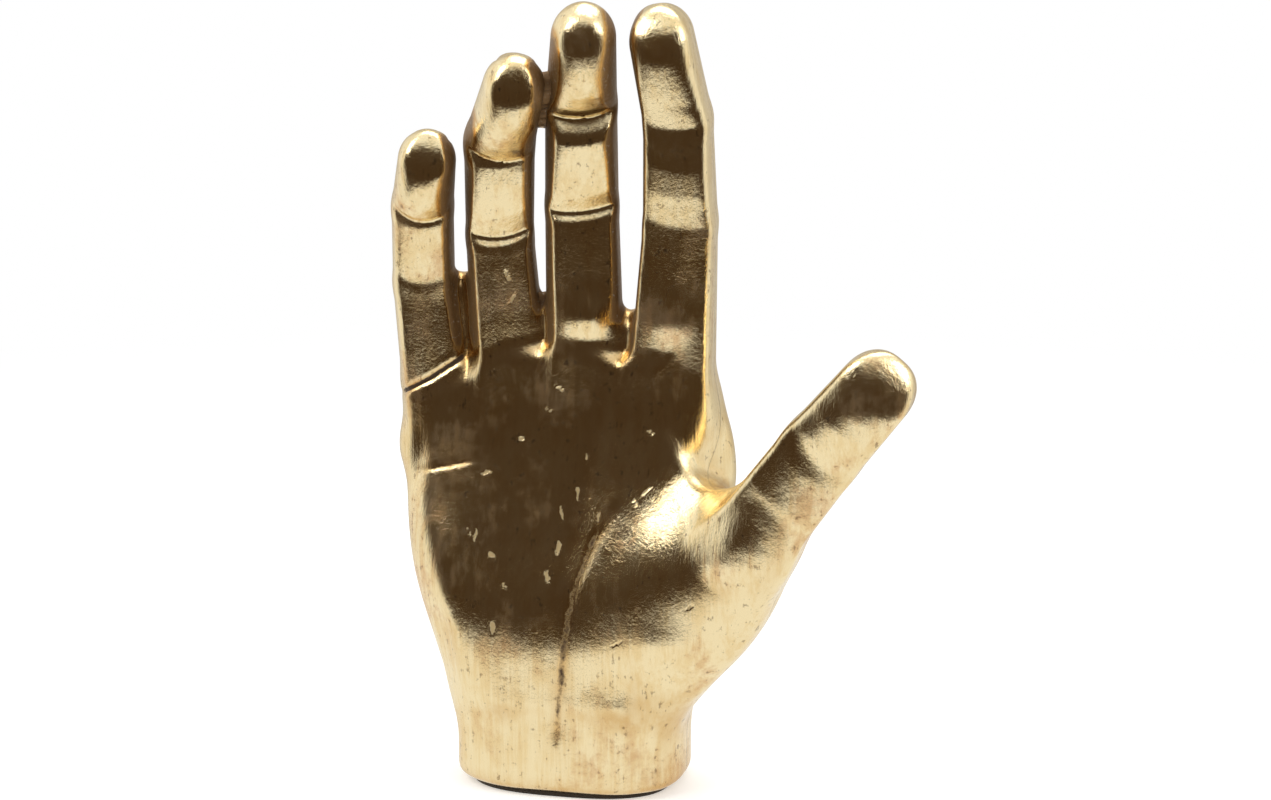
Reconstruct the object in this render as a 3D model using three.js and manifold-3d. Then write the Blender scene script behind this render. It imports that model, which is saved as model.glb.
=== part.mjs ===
// A standing open right hand, palm to the front, cast in resin as a palm half and a back half that are
// bonded along a parting line round the flanks, weighted in the wrist and closed underneath.
// Millimetres. +Z is up, the palm faces -Y, the thumb points to +X. The origin is the middle of the
// face that the hand stands on.
import * as THREE from "three";
import { mergeVertices } from "three/addons/utils/BufferGeometryUtils.js";
import Module from "manifold-3d";

// The wrist, a short upright plinth of rounded oval section.
const wristWidth = 107;
const wristDepth = 80;
const wristHeight = 52;
const wristSquareness = 2.7;
const heelBlend = 12;

// The lower edge of the wrist is rounded in two facets: how far in they are, the height of the lower
// one and the slope of the upper one.
const rimIn = 5;
const facetIn = 1.6;
const facetHeight = 2.5;
const rimSlope = 0.55;

// The casting: the wall round its hollow, the seam between its halves and the keys that register them.
const wall = 10;
const wristWall = 12;
const seamGap = 0.3;
const hollowHeight = 120;
const keyRadius = 2.5;
const keyLength = 5;
const keyClearance = 0.3;
const keyEndClearance = 0.6;
const wristKeyHeight = 27;

// What weights and closes the wrist.
const feltThickness = 2;
const feltInset = 2;
const plateThickness = 6;
const plateLedge = 3;
const fitClearance = 0.3;
const ballastThickness = 38;
const ballastSpare = 3;
const ventRadius = 8;
const ventEdge = 17.5;
const bungFlangeRadius = 12;
const bungFlangeThickness = 1.4;
const bungLength = 12;
const bungTaper = 0.8;

// The main sizes above the wrist: from the wrist to the middle knuckle, from the little knuckle to the
// index knuckle, and from the knuckle to the tip bone's end on the middle finger and on the thumb.
const palmLength = 126;
const knuckleSpan = 108;
const fingerLength = 174;
const thumbLength = 97.5;

// A place on the palm is given as shares of the knuckle span across and back, and a share of the palm's
// length above the wrist. Radii are shares of the knuckle span.
//
// Each digit: where its bone leaves the wrist, where its knuckle is, and the radii at those two. Then
// the steps from the knuckle from joint to joint to the tip: a share of the knuckle span towards the
// thumb side, and shares of the finger or thumb length back and up. thick is the radius at each joint
// and at the tip.
const fingers = [
  {
    name: "index",
    wrist: [0.204, 0.019, 0.048],
    knuckle: [0.407, 0.074, 0.984],
    palmThick: [0.259, 0.194],
    steps: [
      [0.057, -0.049, 0.49],
      [0.008, -0.052, 0.27],
      [-0.048, -0.056, 0.209],
    ],
    thick: [0.18, 0.149, 0.137, 0.128],
  },
  {
    name: "middle",
    wrist: [0.037, 0.037, 0.048],
    knuckle: [0.037, 0.074, 1],
    palmThick: [0.278, 0.19],
    steps: [
      [0.007, -0.056, 0.52],
      [0.032, -0.08, 0.27],
      [0.049, -0.091, 0.172],
    ],
    thick: [0.163, 0.143, 0.139, 0.134],
  },
  {
    name: "ring",
    wrist: [-0.13, 0.037, 0.048],
    knuckle: [-0.287, 0.074, 0.952],
    palmThick: [0.278, 0.181],
    steps: [
      [-0.022, -0.063, 0.47],
      [0.038, -0.077, 0.251],
      [0.114, -0.111, 0.152],
    ],
    thick: [0.162, 0.135, 0.144, 0.123],
  },
  {
    name: "little",
    wrist: [-0.259, 0.019, 0.048],
    knuckle: [-0.593, 0.056, 0.802],
    palmThick: [0.25, 0.171],
    steps: [
      [-0.051, -0.053, 0.45],
      [0.031, -0.062, 0.208],
      [0.054, -0.064, 0.125],
    ],
    thick: [0.155, 0.131, 0.129, 0.12],
  },
].map((finger) => ({ ...finger, reach: fingerLength }));
const thumb = {
  name: "thumb",
  reach: thumbLength,
  wrist: [0.463, -0.093, 0.175],
  knuckle: [0.81, -0.333, 0.563],
  palmThick: [0.245, 0.204],
  steps: [
    [0.322, -0.136, 0.48],
    [0.219, -0.104, 0.294],
  ],
  thick: [0.2, 0.168, 0.155],
};

// The fleshy pads of the palm: centre, half sizes across, through and along, in the same shares as a
// place, and the lean of the long axis towards the thumb in degrees.
const palmPads = [
  { name: "thumb base", centre: [0.547, -0.222, 0.365], half: [0.33, 0.25, 0.413], lean: 38 },
  { name: "heel", centre: [-0.43, -0.074, 0.41], half: [0.25, 0.25, 0.45], lean: -11 },
  { name: "finger roots", centre: [-0.083, 0.028, 0.984], half: [0.667, 0.157, 0.19], lean: 8 },
  { name: "first web", centre: [0.435, 0.111, 0.714], half: [0.241, 0.157, 0.333], lean: 6 },
];

// Skin between neighbouring digits: two ends and a radius.
const webs = [
  { from: [0.25, 0.074, 1.016], to: [0.231, 0.046, 1.246], radius: 0.093 },
  { from: [-0.12, 0.074, 1.016], to: [-0.139, 0.046, 1.286], radius: 0.093 },
  { from: [-0.444, 0.074, 0.976], to: [-0.481, 0.037, 1.373], radius: 0.083 },
  { from: [0.556, -0.074, 0.619], to: [0.815, -0.315, 0.556], radius: 0.13 },
];

// The furrow up the palm beside the base of the thumb: its middle line and a radius.
const furrow = [
  [-0.056, -0.463, -0.206],
  [-0.028, -0.435, 0.048],
  [0.019, -0.352, 0.381],
  [0.074, -0.296, 0.778],
];
const furrowThick = 0.12;
const furrowBlend = 5;

// How softly the forms run into each other, and how square a limb is in section.
const boneBlend = 4;
const padBlend = 5;
const fleshBlend = 10;
const palmBlend = 18;
const rootBlend = 9;
const sectionPower = 3;
const tipStretch = 1.12;

// How the flesh of a digit lies on its bones: how far along the bone a pad sits, how far in front of it
// and its half sizes, as shares of the bone length and of the limb radius.
const padPlace = 0.52;
const padLift = 0.3;
const padAcross = 0.92;
const padThrough = 0.86;
const padAlong = 0.46;
const padTipShare = 0.3;

// A crease goes round the palm side of a joint.
const creaseDepth = 1.3;
const creaseReach = 2.2;

// The root of a digit stands in the palm as a stump that is thinner than the digit by the tuck.
const stumpShare = 0.52;
const stumpTuck = 1.2;
const rootDepth = 14;

// How finely the soft surfaces are cut up.
const bodyStep = 8.4;
const hollowStep = 12;
const hollowSides = 24;
const seamStep = 24;
const ringStep = 10;
const ringSides = 18;
const domeRings = 4;
const ringReach = 120;
const ovalSides = 36;
const discSides = 20;
const shortEdge = 0.05;

const radians = (degrees) => (degrees * Math.PI) / 180;
const smoothMin = (a, b, k) => {
  const h = Math.max(k - Math.abs(a - b), 0) / k;
  return Math.min(a, b) - (h * h * k) / 4;
};
const smoothMax = (a, b, k) => -smoothMin(-a, -b, k);

const spans = (shares) => shares.map((share) => share * knuckleSpan);
const onPalm = ([across, back, up]) => [
  across * knuckleSpan,
  back * knuckleSpan,
  wristHeight + up * palmLength,
];

// A bone with its flesh: a tapered limb between two points, squarish in section, round at the ends.
function limb(from, to, startRadius, endRadius) {
  const a = new THREE.Vector3(...from);
  const b = new THREE.Vector3(...to);
  const along = b.clone().sub(a);
  const length = along.length();
  along.normalize();
  const across = new THREE.Vector3(0, -1, 0).cross(along).normalize();
  const front = along.clone().cross(across).normalize();
  return { a, b, along, across, front, length, startRadius, endRadius };
}

function limbDistance(bone, x, y, z) {
  const px = x - bone.a.x;
  const py = y - bone.a.y;
  const pz = z - bone.a.z;
  const t = px * bone.along.x + py * bone.along.y + pz * bone.along.z;
  const held = Math.min(Math.max(t, 0), bone.length);
  const share = held / bone.length;
  const radius = bone.startRadius + (bone.endRadius - bone.startRadius) * share;
  const side = px * bone.across.x + py * bone.across.y + pz * bone.across.z;
  const deep = px * bone.front.x + py * bone.front.y + pz * bone.front.z;
  const sum = Math.abs(side) ** sectionPower + Math.abs(deep) ** sectionPower;
  return Math.hypot(sum ** (1 / sectionPower), (t - held) / tipStretch) - radius;
}

// How far a point is from a fleshy pad, an ellipsoid with a centre, three unit axes and half sizes.
function padDistance(flesh, x, y, z) {
  const px = x - flesh.centre.x;
  const py = y - flesh.centre.y;
  const pz = z - flesh.centre.z;
  let near = 0;
  let steep = 0;
  flesh.axes.forEach((axis, i) => {
    const q = (px * axis.x + py * axis.y + pz * axis.z) / flesh.half[i];
    near += q * q;
    steep += (q / flesh.half[i]) ** 2;
  });
  const k = Math.sqrt(near);
  return steep > 0 ? (k * (k - 1)) / Math.sqrt(steep) : -Math.min(...flesh.half);
}

// The limbs and pads of one digit, from its joints and radii.
function digitBody(digit) {
  const limbs = [];
  const pads = [];
  const joints = [new THREE.Vector3(...onPalm(digit.knuckle))];
  const thick = spans(digit.thick);
  digit.steps.forEach(([across, back, up], i) => {
    const start = joints[i];
    const step = new THREE.Vector3(across * knuckleSpan, back * digit.reach, up * digit.reach);
    const end = start.clone().add(step);
    joints.push(end);
    const bone = limb(start.toArray(), end.toArray(), thick[i], thick[i + 1]);
    limbs.push(bone);
    const last = i === digit.steps.length - 1;
    const radius = (thick[i] + thick[i + 1]) / 2;
    const centre = start
      .clone()
      .lerp(end, padPlace)
      .addScaledVector(bone.front, radius * padLift);
    const reach = bone.length * padAlong + (last ? radius * padTipShare : 0);
    if (i > 0)
      pads.push({
        centre,
        axes: [bone.across, bone.front, bone.along],
        half: [radius * padAcross, radius * padThrough, reach],
      });
  });
  const creases = limbs.slice(1).map((bone, i) => ({
    at: bone.a,
    along: bone.along.clone().add(limbs[i].along).normalize(),
    front: bone.front.clone().add(limbs[i].front).normalize(),
    radius: bone.startRadius,
  }));
  return { limbs, pads, joints, creases, thick };
}

const digitBodies = [...fingers, thumb].map(digitBody);
const fleshPads = palmPads.map((p) => {
  const up = new THREE.Vector3(Math.tan(radians(p.lean)), 0, 1).normalize();
  const back = new THREE.Vector3(0, 1, 0);
  const across = back.clone().cross(up).normalize();
  const centre = new THREE.Vector3(...onPalm(p.centre));
  const half = [p.half[0] * knuckleSpan, p.half[1] * knuckleSpan, p.half[2] * palmLength];
  return { centre, axes: [across, back, up], half };
});
const webLimbs = webs.map(({ from, to, radius }) =>
  limb(onPalm(from), onPalm(to), ...spans([radius, radius])),
);
const furrowLine = furrow.map(onPalm);
const furrowLimbs = furrowLine
  .slice(1)
  .map((to, i) => limb(furrowLine[i], to, ...spans([furrowThick, furrowThick])));
const palmBones = [...fingers, thumb].map(({ wrist, knuckle, palmThick }) =>
  limb(onPalm(wrist), onPalm(knuckle), ...spans(palmThick)),
);
const stumps = digitBodies.map(({ limbs, thick }) => {
  const to = limbs[0].a.clone().lerp(limbs[0].b, stumpShare);
  const top = thick[0] + (thick[1] - thick[0]) * stumpShare;
  return limb(limbs[0].a.toArray(), to.toArray(), thick[0] - stumpTuck, top - stumpTuck);
});

function wristDistance(x, y, z) {
  const halfX = wristWidth / 2;
  const halfY = wristDepth / 2;
  const sum =
    Math.abs(x / halfX) ** wristSquareness +
    Math.abs(y / halfY) ** wristSquareness;
  const side = (sum ** (1 / wristSquareness) - 1) * halfY;
  return smoothMax(side, z - wristHeight - heelBlend, heelBlend);
}

function palmDistance(x, y, z) {
  let d = wristDistance(x, y, z);
  for (const bone of palmBones)
    d = smoothMin(d, limbDistance(bone, x, y, z), palmBlend);
  for (const flesh of fleshPads)
    d = smoothMin(d, padDistance(flesh, x, y, z), fleshBlend);
  for (const cut of furrowLimbs)
    d = smoothMax(d, -limbDistance(cut, x, y, z), furrowBlend);
  return d;
}

function digitDistance(body, x, y, z) {
  let d = limbDistance(body.limbs[0], x, y, z);
  for (const bone of body.limbs.slice(1))
    d = smoothMin(d, limbDistance(bone, x, y, z), boneBlend);
  for (const flesh of body.pads)
    d = smoothMin(d, padDistance(flesh, x, y, z), padBlend);
  for (const crease of body.creases) {
    const px = x - crease.at.x;
    const py = y - crease.at.y;
    const pz = z - crease.at.z;
    const off = px * crease.along.x + py * crease.along.y + pz * crease.along.z;
    const front = px * crease.front.x + py * crease.front.y + pz * crease.front.z;
    const facing = Math.min(Math.max(front / crease.radius, 0), 1);
    d += creaseDepth * facing * Math.exp(-((off / creaseReach) ** 2) * 2);
  }
  return d;
}

// The palm, the stumps of the digits and the skin between them: below 0 inside.
function bodyDistance(x, y, z) {
  let d = palmDistance(x, y, z);
  let roots = Infinity;
  for (const stump of stumps)
    roots = Math.min(roots, limbDistance(stump, x, y, z));
  d = smoothMin(d, roots, rootBlend);
  for (const web of webLimbs)
    d = smoothMin(d, limbDistance(web, x, y, z), padBlend);
  return Math.max(d, -z - bodyStep);
}

function hollowDistance(x, y, z) {
  return Math.max(palmDistance(x, y, z) + wall, z - wristHeight - hollowHeight);
}

function geometryOf(points, faces) {
  const geometry = new THREE.BufferGeometry();
  geometry.setAttribute(
    "position",
    new THREE.Float32BufferAttribute(points.flat(), 3),
  );
  geometry.setIndex(faces.flat());
  return geometry;
}

// Turns the surface where a distance function is 0 into a closed mesh: one point in each grid cell that
// it crosses, joined across each crossed grid edge, then moved onto the surface along the slope.
function surfaceOf(distance, low, high, step) {
  const count = low.map((v, i) => Math.ceil((high[i] - v) / step) + 1);
  const at = (i, j, k) => (k * count[1] + j) * count[0] + i;
  const values = new Float32Array(count[0] * count[1] * count[2]);
  for (let k = 0; k < count[2]; k++)
    for (let j = 0; j < count[1]; j++)
      for (let i = 0; i < count[0]; i++)
        values[at(i, j, k)] = distance(
          low[0] + i * step,
          low[1] + j * step,
          low[2] + k * step,
        );
  const bits = [0, 1];
  const corners = bits.flatMap((c) =>
    bits.flatMap((b) => bits.map((a) => [a, b, c])),
  );
  const edges = corners.flatMap((p, m) =>
    corners
      .filter((q, n) => n > m && p.filter((v, i) => v !== q[i]).length === 1)
      .map((q) => [p, q]),
  );
  const points = [];
  const cellPoint = new Map();
  for (let k = 0; k < count[2] - 1; k++)
    for (let j = 0; j < count[1] - 1; j++)
      for (let i = 0; i < count[0] - 1; i++) {
        const sum = [0, 0, 0];
        let crossed = 0;
        for (const [p, q] of edges) {
          const u = values[at(i + p[0], j + p[1], k + p[2])];
          const v = values[at(i + q[0], j + q[1], k + q[2])];
          if (u < 0 === v < 0) continue;
          const share = u / (u - v);
          p.forEach((c, n) => (sum[n] += c + (q[n] - c) * share));
          crossed++;
        }
        if (!crossed) continue;
        cellPoint.set(at(i, j, k), points.length);
        const cell = [i, j, k];
        points.push(sum.map((s, n) => low[n] + (cell[n] + s / crossed) * step));
      }
  const quads = [];
  const join = (cells, inside) => quads.push(inside ? cells : cells.reverse());
  for (let k = 1; k < count[2] - 1; k++)
    for (let j = 1; j < count[1] - 1; j++)
      for (let i = 1; i < count[0] - 1; i++) {
        const here = values[at(i, j, k)] < 0;
        const cell = (a, b, c) => cellPoint.get(at(i - a, j - b, k - c));
        const turn = [cell(0, 0, 0), cell(1, 1, 0), cell(0, 1, 1), cell(1, 0, 1)];
        if (here !== values[at(i + 1, j, k)] < 0)
          join([turn[2], cell(0, 0, 1), turn[0], cell(0, 1, 0)], here);
        if (here !== values[at(i, j + 1, k)] < 0)
          join([turn[3], cell(1, 0, 0), turn[0], cell(0, 0, 1)], here);
        if (here !== values[at(i, j, k + 1)] < 0)
          join([turn[1], cell(0, 1, 0), turn[0], cell(1, 0, 0)], here);
      }
  const rounds = 3;
  const nudge = step / 20;
  for (const p of points)
    for (let n = 0; n < rounds; n++) {
      const d = distance(...p);
      const slope = [0, 1, 2].map((i) => {
        const ahead = [...p];
        ahead[i] += nudge;
        return (distance(...ahead) - d) / nudge;
      });
      const steep = slope.reduce((s, v) => s + v * v, 0);
      const move = Math.max(Math.min(-d / (steep + 0.01), step / 3), -step / 3);
      slope.forEach((v, i) => (p[i] += v * move));
    }
  const apart = (a, b) =>
    points[a].reduce((s, v, i) => s + (v - points[b][i]) ** 2, 0);
  const faces = quads.flatMap(([a, b, c, d]) =>
    apart(a, c) < apart(b, d)
      ? [
          [a, b, c],
          [a, c, d],
        ]
      : [
          [a, b, d],
          [b, c, d],
        ],
  );
  return geometryOf(points, faces);
}

// A solid of rings round a middle line, each point sent out from the line until it meets the surface
// where a distance function is 0. It starts flat, at the first station, and ends in a dome.
function ringed(distance, stations, sides) {
  const points = [];
  const faces = [];
  const surfacePoint = (from, way) => {
    let near = 0;
    let far = ringReach;
    const rounds = 20;
    for (let n = 0; n < rounds; n++) {
      const middle = (near + far) / 2;
      const p = from.clone().addScaledVector(way, middle);
      if (distance(p.x, p.y, p.z) < 0) near = middle;
      else far = middle;
    }
    return from.clone().addScaledVector(way, near).toArray();
  };
  const ring = ({ at, toward }, tilt) => {
    const side = new THREE.Vector3(0, -1, 0).cross(toward).normalize();
    const front = toward.clone().cross(side);
    for (let i = 0; i < sides; i++) {
      const angle = (i / sides) * 2 * Math.PI;
      const way = side
        .clone()
        .multiplyScalar(Math.cos(angle) * Math.cos(tilt))
        .addScaledVector(front, Math.sin(angle) * Math.cos(tilt))
        .addScaledVector(toward, Math.sin(tilt));
      points.push(surfacePoint(at, way));
    }
  };
  for (const station of stations) ring(station, 0);
  const end = stations.at(-1);
  for (let n = 1; n < domeRings; n++) ring(end, (n / domeRings) * (Math.PI / 2));
  const ringCount = points.length / sides;
  const startCentre = points.push(stations[0].at.toArray()) - 1;
  const endPoint = points.push(surfacePoint(end.at, end.toward)) - 1;
  for (let i = 0; i < sides; i++) {
    const next = (i + 1) % sides;
    for (let n = 0; n < ringCount - 1; n++) {
      const low = n * sides;
      const high = low + sides;
      faces.push([low + i, low + next, high + next]);
      faces.push([low + i, high + next, high + i]);
    }
    const last = (ringCount - 1) * sides;
    faces.push([startCentre, next, i]);
    faces.push([endPoint, last + i, last + next]);
  }
  return geometryOf(points, faces);
}

// A digit with its rings closer together where a crease crosses.
function digitGeometry(body) {
  const root = body.joints[0]
    .clone()
    .addScaledVector(body.limbs[0].along, -rootDepth);
  const curve = new THREE.CatmullRomCurve3([root, ...body.joints.slice(1)]);
  const stations = body.limbs.flatMap((bone, i) => {
    const length = bone.length + (i ? 0 : rootDepth);
    const rings = Math.round(length / ringStep);
    const near = creaseReach / length;
    const shares = Array.from({ length: rings }, (_, n) => n / rings);
    if (i) shares.splice(1, 0, near);
    if (i < body.limbs.length - 1) shares.push(1 - near);
    return shares.map((share) => (i + share) / body.limbs.length);
  });
  return ringed(
    (x, y, z) => digitDistance(body, x, y, z),
    [...stations, 1].map((t) => ({ at: curve.getPoint(t), toward: curve.getTangent(t) })),
    ringSides,
  );
}

// Where the two halves of the casting part: the depth of the bones, shared out by how near they are.
const seamSpread = 12;
const wristBones = [-1, 1].map((side) => {
  const x = (side * wristWidth) / 3;
  return limb([x, 0, -seamStep], [x, 0, wristHeight], 1, 1);
});
const seamBones = [
  ...palmBones,
  ...digitBodies.flatMap((body) => body.limbs),
  ...wristBones,
];
function seamDepth(x, z) {
  let sum = 0;
  let weights = 0;
  for (const bone of seamBones) {
    const dx = bone.b.x - bone.a.x;
    const dz = bone.b.z - bone.a.z;
    const along = (x - bone.a.x) * dx + (z - bone.a.z) * dz;
    const share = Math.min(Math.max(along / (dx * dx + dz * dz), 0), 1);
    const px = x - bone.a.x - dx * share;
    const pz = z - bone.a.z - dz * share;
    const weight = 1 / (px * px + pz * pz + seamSpread ** 2) ** 2;
    sum += weight * (bone.a.y + (bone.b.y - bone.a.y) * share);
    weights += weight;
  }
  return sum / weights;
}

const wasm = await Module();
wasm.setup();
function solid(geometry) {
  return new wasm.Manifold(
    new wasm.Mesh({
      numProp: 3,
      vertProperties: new Float32Array(geometry.getAttribute("position").array),
      triVerts: new Uint32Array(geometry.index.array),
    }),
  );
}

// The shapes below have each corner once for each face that meets there: this joins them.
function joined(geometry) {
  geometry.deleteAttribute("normal");
  geometry.deleteAttribute("uv");
  const merged = mergeVertices(geometry);
  const faces = [];
  for (let i = 0; i < merged.index.count; i += 3) {
    const face = [0, 1, 2].map((n) => merged.index.getX(i + n));
    if (new Set(face).size === 3) faces.push(...face);
  }
  merged.setIndex(faces);
  return solid(merged);
}

// A solid between two loops of points that run anticlockwise round it, the first below the second.
function prism(lower, upper) {
  const n = lower.length;
  const faces = [];
  for (let i = 0; i < n; i++) {
    const next = (i + 1) % n;
    faces.push([i, next, n + next], [i, n + next, n + i]);
  }
  for (let i = 1; i < n - 1; i++) {
    faces.push([0, i + 1, i]);
    faces.push([n, n + i, n + i + 1]);
  }
  return solid(geometryOf([...lower, ...upper], faces));
}

// The vent is off the middle, at a set distance inside the pocket's end.
const ventX = ventEdge + wristWall - wristWidth / 2;

// The outline of the wrist, moved inwards.
function ovalOutline(inset) {
  const power = 2 / wristSquareness;
  const halfX = wristWidth / 2 - inset;
  const halfY = wristDepth / 2 - inset;
  return Array.from({ length: ovalSides }, (_, i) => {
    const angle = (i / ovalSides) * 2 * Math.PI;
    const [c, s] = [Math.cos(angle), Math.sin(angle)];
    return new THREE.Vector2(
      halfX * Math.sign(c) * Math.abs(c) ** power,
      halfY * Math.sign(s) * Math.abs(s) ** power,
    );
  });
}
const oval = (inset, z) => ovalOutline(inset).map(({ x, y }) => [x, y, z]);

// A slab of the wrist's outline, with a round hole where the vent is unless its radius is 0.
function ovalSlab(inset, low, high, holeRadius = 0) {
  const shape = new THREE.Shape(ovalOutline(inset));
  if (holeRadius)
    shape.holes.push(new THREE.Path().absarc(ventX, 0, holeRadius, 0, 2 * Math.PI, true));
  const settings = { depth: high - low, bevelEnabled: false, curveSegments: discSides };
  return joined(new THREE.ExtrudeGeometry(shape, settings).translate(0, 0, low));
}

// A pin along Y, from the front to the back.
function pin(x, z, radius, front, back) {
  const cylinder = new THREE.CylinderGeometry(radius, radius, back - front, discSides);
  return joined(cylinder.translate(x, (front + back) / 2, z));
}

// A block that ends in the parting surface, moved by the shift, and reaches from there to the back or
// the front.
const tips = digitBodies.map((body) => body.joints.at(-1));
const blockMargin = 3 * digitBodies[0].thick[0];
const blockLow = { x: Math.min(...tips.map((p) => p.x)) - blockMargin, z: -seamStep };
const blockHigh = {
  x: Math.max(...tips.map((p) => p.x)) + blockMargin,
  z: Math.max(...tips.map((p) => p.z)) + blockMargin,
};
const blockReach = 2 * palmLength;
function seamBlock(shift, toBack) {
  const across = Math.ceil((blockHigh.x - blockLow.x) / seamStep);
  const up = Math.ceil((blockHigh.z - blockLow.z) / seamStep);
  const points = [];
  const faces = [];
  const place = (i, k, far) => (far * (up + 1) + k) * (across + 1) + i;
  for (const far of [0, 1])
    for (let k = 0; k <= up; k++)
      for (let i = 0; i <= across; i++) {
        const x = blockLow.x + i * seamStep;
        const z = blockLow.z + k * seamStep;
        const away = toBack ? blockReach : -blockReach;
        points.push([x, far ? away : seamDepth(x, z) + shift, z]);
      }
  const quad = (a, b, c, d) => {
    if (toBack) faces.push([a, b, c], [a, c, d]);
    else faces.push([c, b, a], [d, c, a]);
  };
  for (let k = 0; k < up; k++) {
    for (let i = 0; i < across; i++) {
      quad(place(i, k, 0), place(i + 1, k, 0), place(i + 1, k + 1, 0), place(i, k + 1, 0));
      quad(place(i, k + 1, 1), place(i + 1, k + 1, 1), place(i + 1, k, 1), place(i, k, 1));
    }
    quad(place(0, k, 1), place(0, k, 0), place(0, k + 1, 0), place(0, k + 1, 1));
    quad(
      place(across, k + 1, 1),
      place(across, k + 1, 0),
      place(across, k, 0),
      place(across, k, 1),
    );
  }
  for (let i = 0; i < across; i++) {
    quad(place(i + 1, 0, 1), place(i + 1, 0, 0), place(i, 0, 0), place(i, 0, 1));
    quad(place(i, up, 1), place(i, up, 0), place(i + 1, up, 0), place(i + 1, up, 1));
  }
  return solid(geometryOf(points, faces));
}

// The hand as one solid, down to the face that it stands on, and what is left out of it.
const bodyLow = [blockLow.x, -wristDepth, -3 * bodyStep];
const bodyHigh = [blockHigh.x, wristDepth, wristHeight + 1.6 * palmLength];
const standing = feltThickness;
const plateTop = standing + plateThickness;
const ballastTop = plateTop + ballastThickness;
let hand = solid(surfaceOf(bodyDistance, bodyLow, bodyHigh, bodyStep));
for (const body of digitBodies) hand = hand.add(solid(digitGeometry(body)));
const facetTop = standing + facetHeight;
const flareIn = facetIn - rimSlope * (wristHeight - facetTop);
const foot = prism(oval(rimIn, standing), oval(facetIn, facetTop))
  .add(prism(oval(facetIn, facetTop), oval(flareIn, wristHeight)))
  .add(ovalSlab(-blockReach, wristHeight, blockHigh.z));
hand = hand.intersect(foot);
const below = 10;
const hollowRings = Math.round((wristHeight + hollowHeight - ballastTop) / hollowStep);
const hollowStations = Array.from({ length: hollowRings }, (_, n) => ({
  at: new THREE.Vector3(0, 0, ballastTop + n * hollowStep),
  toward: new THREE.Vector3(0, 0, 1),
}));
const hollow = solid(ringed(hollowDistance, hollowStations, hollowSides));
const plateInset = wristWall - plateLedge;
const pocket = ovalSlab(wristWall, standing - below, ballastTop + ballastSpare);
const plateSeat = ovalSlab(plateInset, standing - below, plateTop);
const casting = hand.subtract(hollow).subtract(pocket).subtract(plateSeat);

// The keys on the back half, one in the root bone of each digit and one in each side of the wrist.
const keyPlaces = [
  ...digitBodies.map((body) => {
    const middle = body.limbs[0].a.clone().lerp(body.limbs[0].b, 0.5);
    return [middle.x, middle.z];
  }),
  ...[-1, 1].map((side) => [(side * (wristWidth - wristWall)) / 2, wristKeyHeight]),
];
let palmHalf = casting.subtract(seamBlock(-seamGap / 2, true));
let backHalf = casting.subtract(seamBlock(seamGap / 2, false));
for (const [x, z] of keyPlaces) {
  const y = seamDepth(x, z);
  const socketFront = y - keyLength - keyEndClearance;
  const socket = pin(x, z, keyRadius + keyClearance, socketFront, y + keyLength);
  palmHalf = palmHalf.subtract(socket);
  backHalf = backHalf.add(pin(x, z, keyRadius, y - keyLength, y + keyLength));
}

const ballast = ovalSlab(
  wristWall + fitClearance,
  plateTop,
  ballastTop,
  ventRadius + fitClearance,
);
const plate = ovalSlab(plateInset + fitClearance, standing, plateTop, ventRadius);
const feltHole = bungFlangeRadius + fitClearance;
const felt = ovalSlab(rimIn + feltInset, 0, feltThickness, feltHole);

// The bung is turned: a flange under the plate and a tapered plug up its hole.
const bungLow = standing - bungFlangeThickness;
const bungProfile = [
  [0, bungLow],
  [bungFlangeRadius, bungLow],
  [bungFlangeRadius, standing],
  [ventRadius - fitClearance, standing],
  [ventRadius - bungTaper, bungLow + bungLength],
  [0, bungLow + bungLength],
].map(([radius, z]) => new THREE.Vector2(radius, z));
const bung = joined(
  new THREE.LatheGeometry(bungProfile, discSides).rotateX(Math.PI / 2).translate(ventX, 0, 0),
);

// Draws together the two ends of each edge that the cuts left shorter than can be seen, where the
// surface stays closed.
function tidied(mesh) {
  const points = [];
  for (let i = 0; i < mesh.vertProperties.length; i += mesh.numProp)
    points.push(Array.from(mesh.vertProperties.slice(i, i + 3)));
  const faces = [];
  const around = points.map(() => new Set());
  for (let i = 0; i < mesh.triVerts.length; i += 3) {
    const face = Array.from(mesh.triVerts.slice(i, i + 3));
    for (const v of face) around[v].add(face);
    faces.push(face);
  }
  const dropped = new Set();
  const neighbours = (v) => new Set([...around[v]].flat().filter((w) => w !== v));
  const drawTogether = (from, to) => {
    const near = neighbours(to);
    const shared = [...neighbours(from)].filter((v) => near.has(v));
    if (shared.length !== 2) return;
    for (const face of [...around[from]]) {
      if (face.includes(to)) {
        dropped.add(face);
        for (const v of face) around[v].delete(face);
      } else {
        face[face.indexOf(from)] = to;
        around[to].add(face);
      }
    }
    around[from].clear();
  };
  for (const face of faces)
    for (let n = 0; n < 3 && !dropped.has(face); n++) {
      const [a, b] = [face[n], face[(n + 1) % 3]];
      const length = Math.hypot(...points[a].map((v, k) => v - points[b][k]));
      if (length < shortEdge) drawTogether(a, b);
    }
  const kept = faces.filter((face) => !dropped.has(face));
  const used = [...new Set(kept.flat())];
  const place = new Map(used.map((v, i) => [v, i]));
  return geometryOf(
    used.map((v) => points[v]),
    kept.map((face) => face.map((v) => place.get(v))),
  );
}

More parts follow.
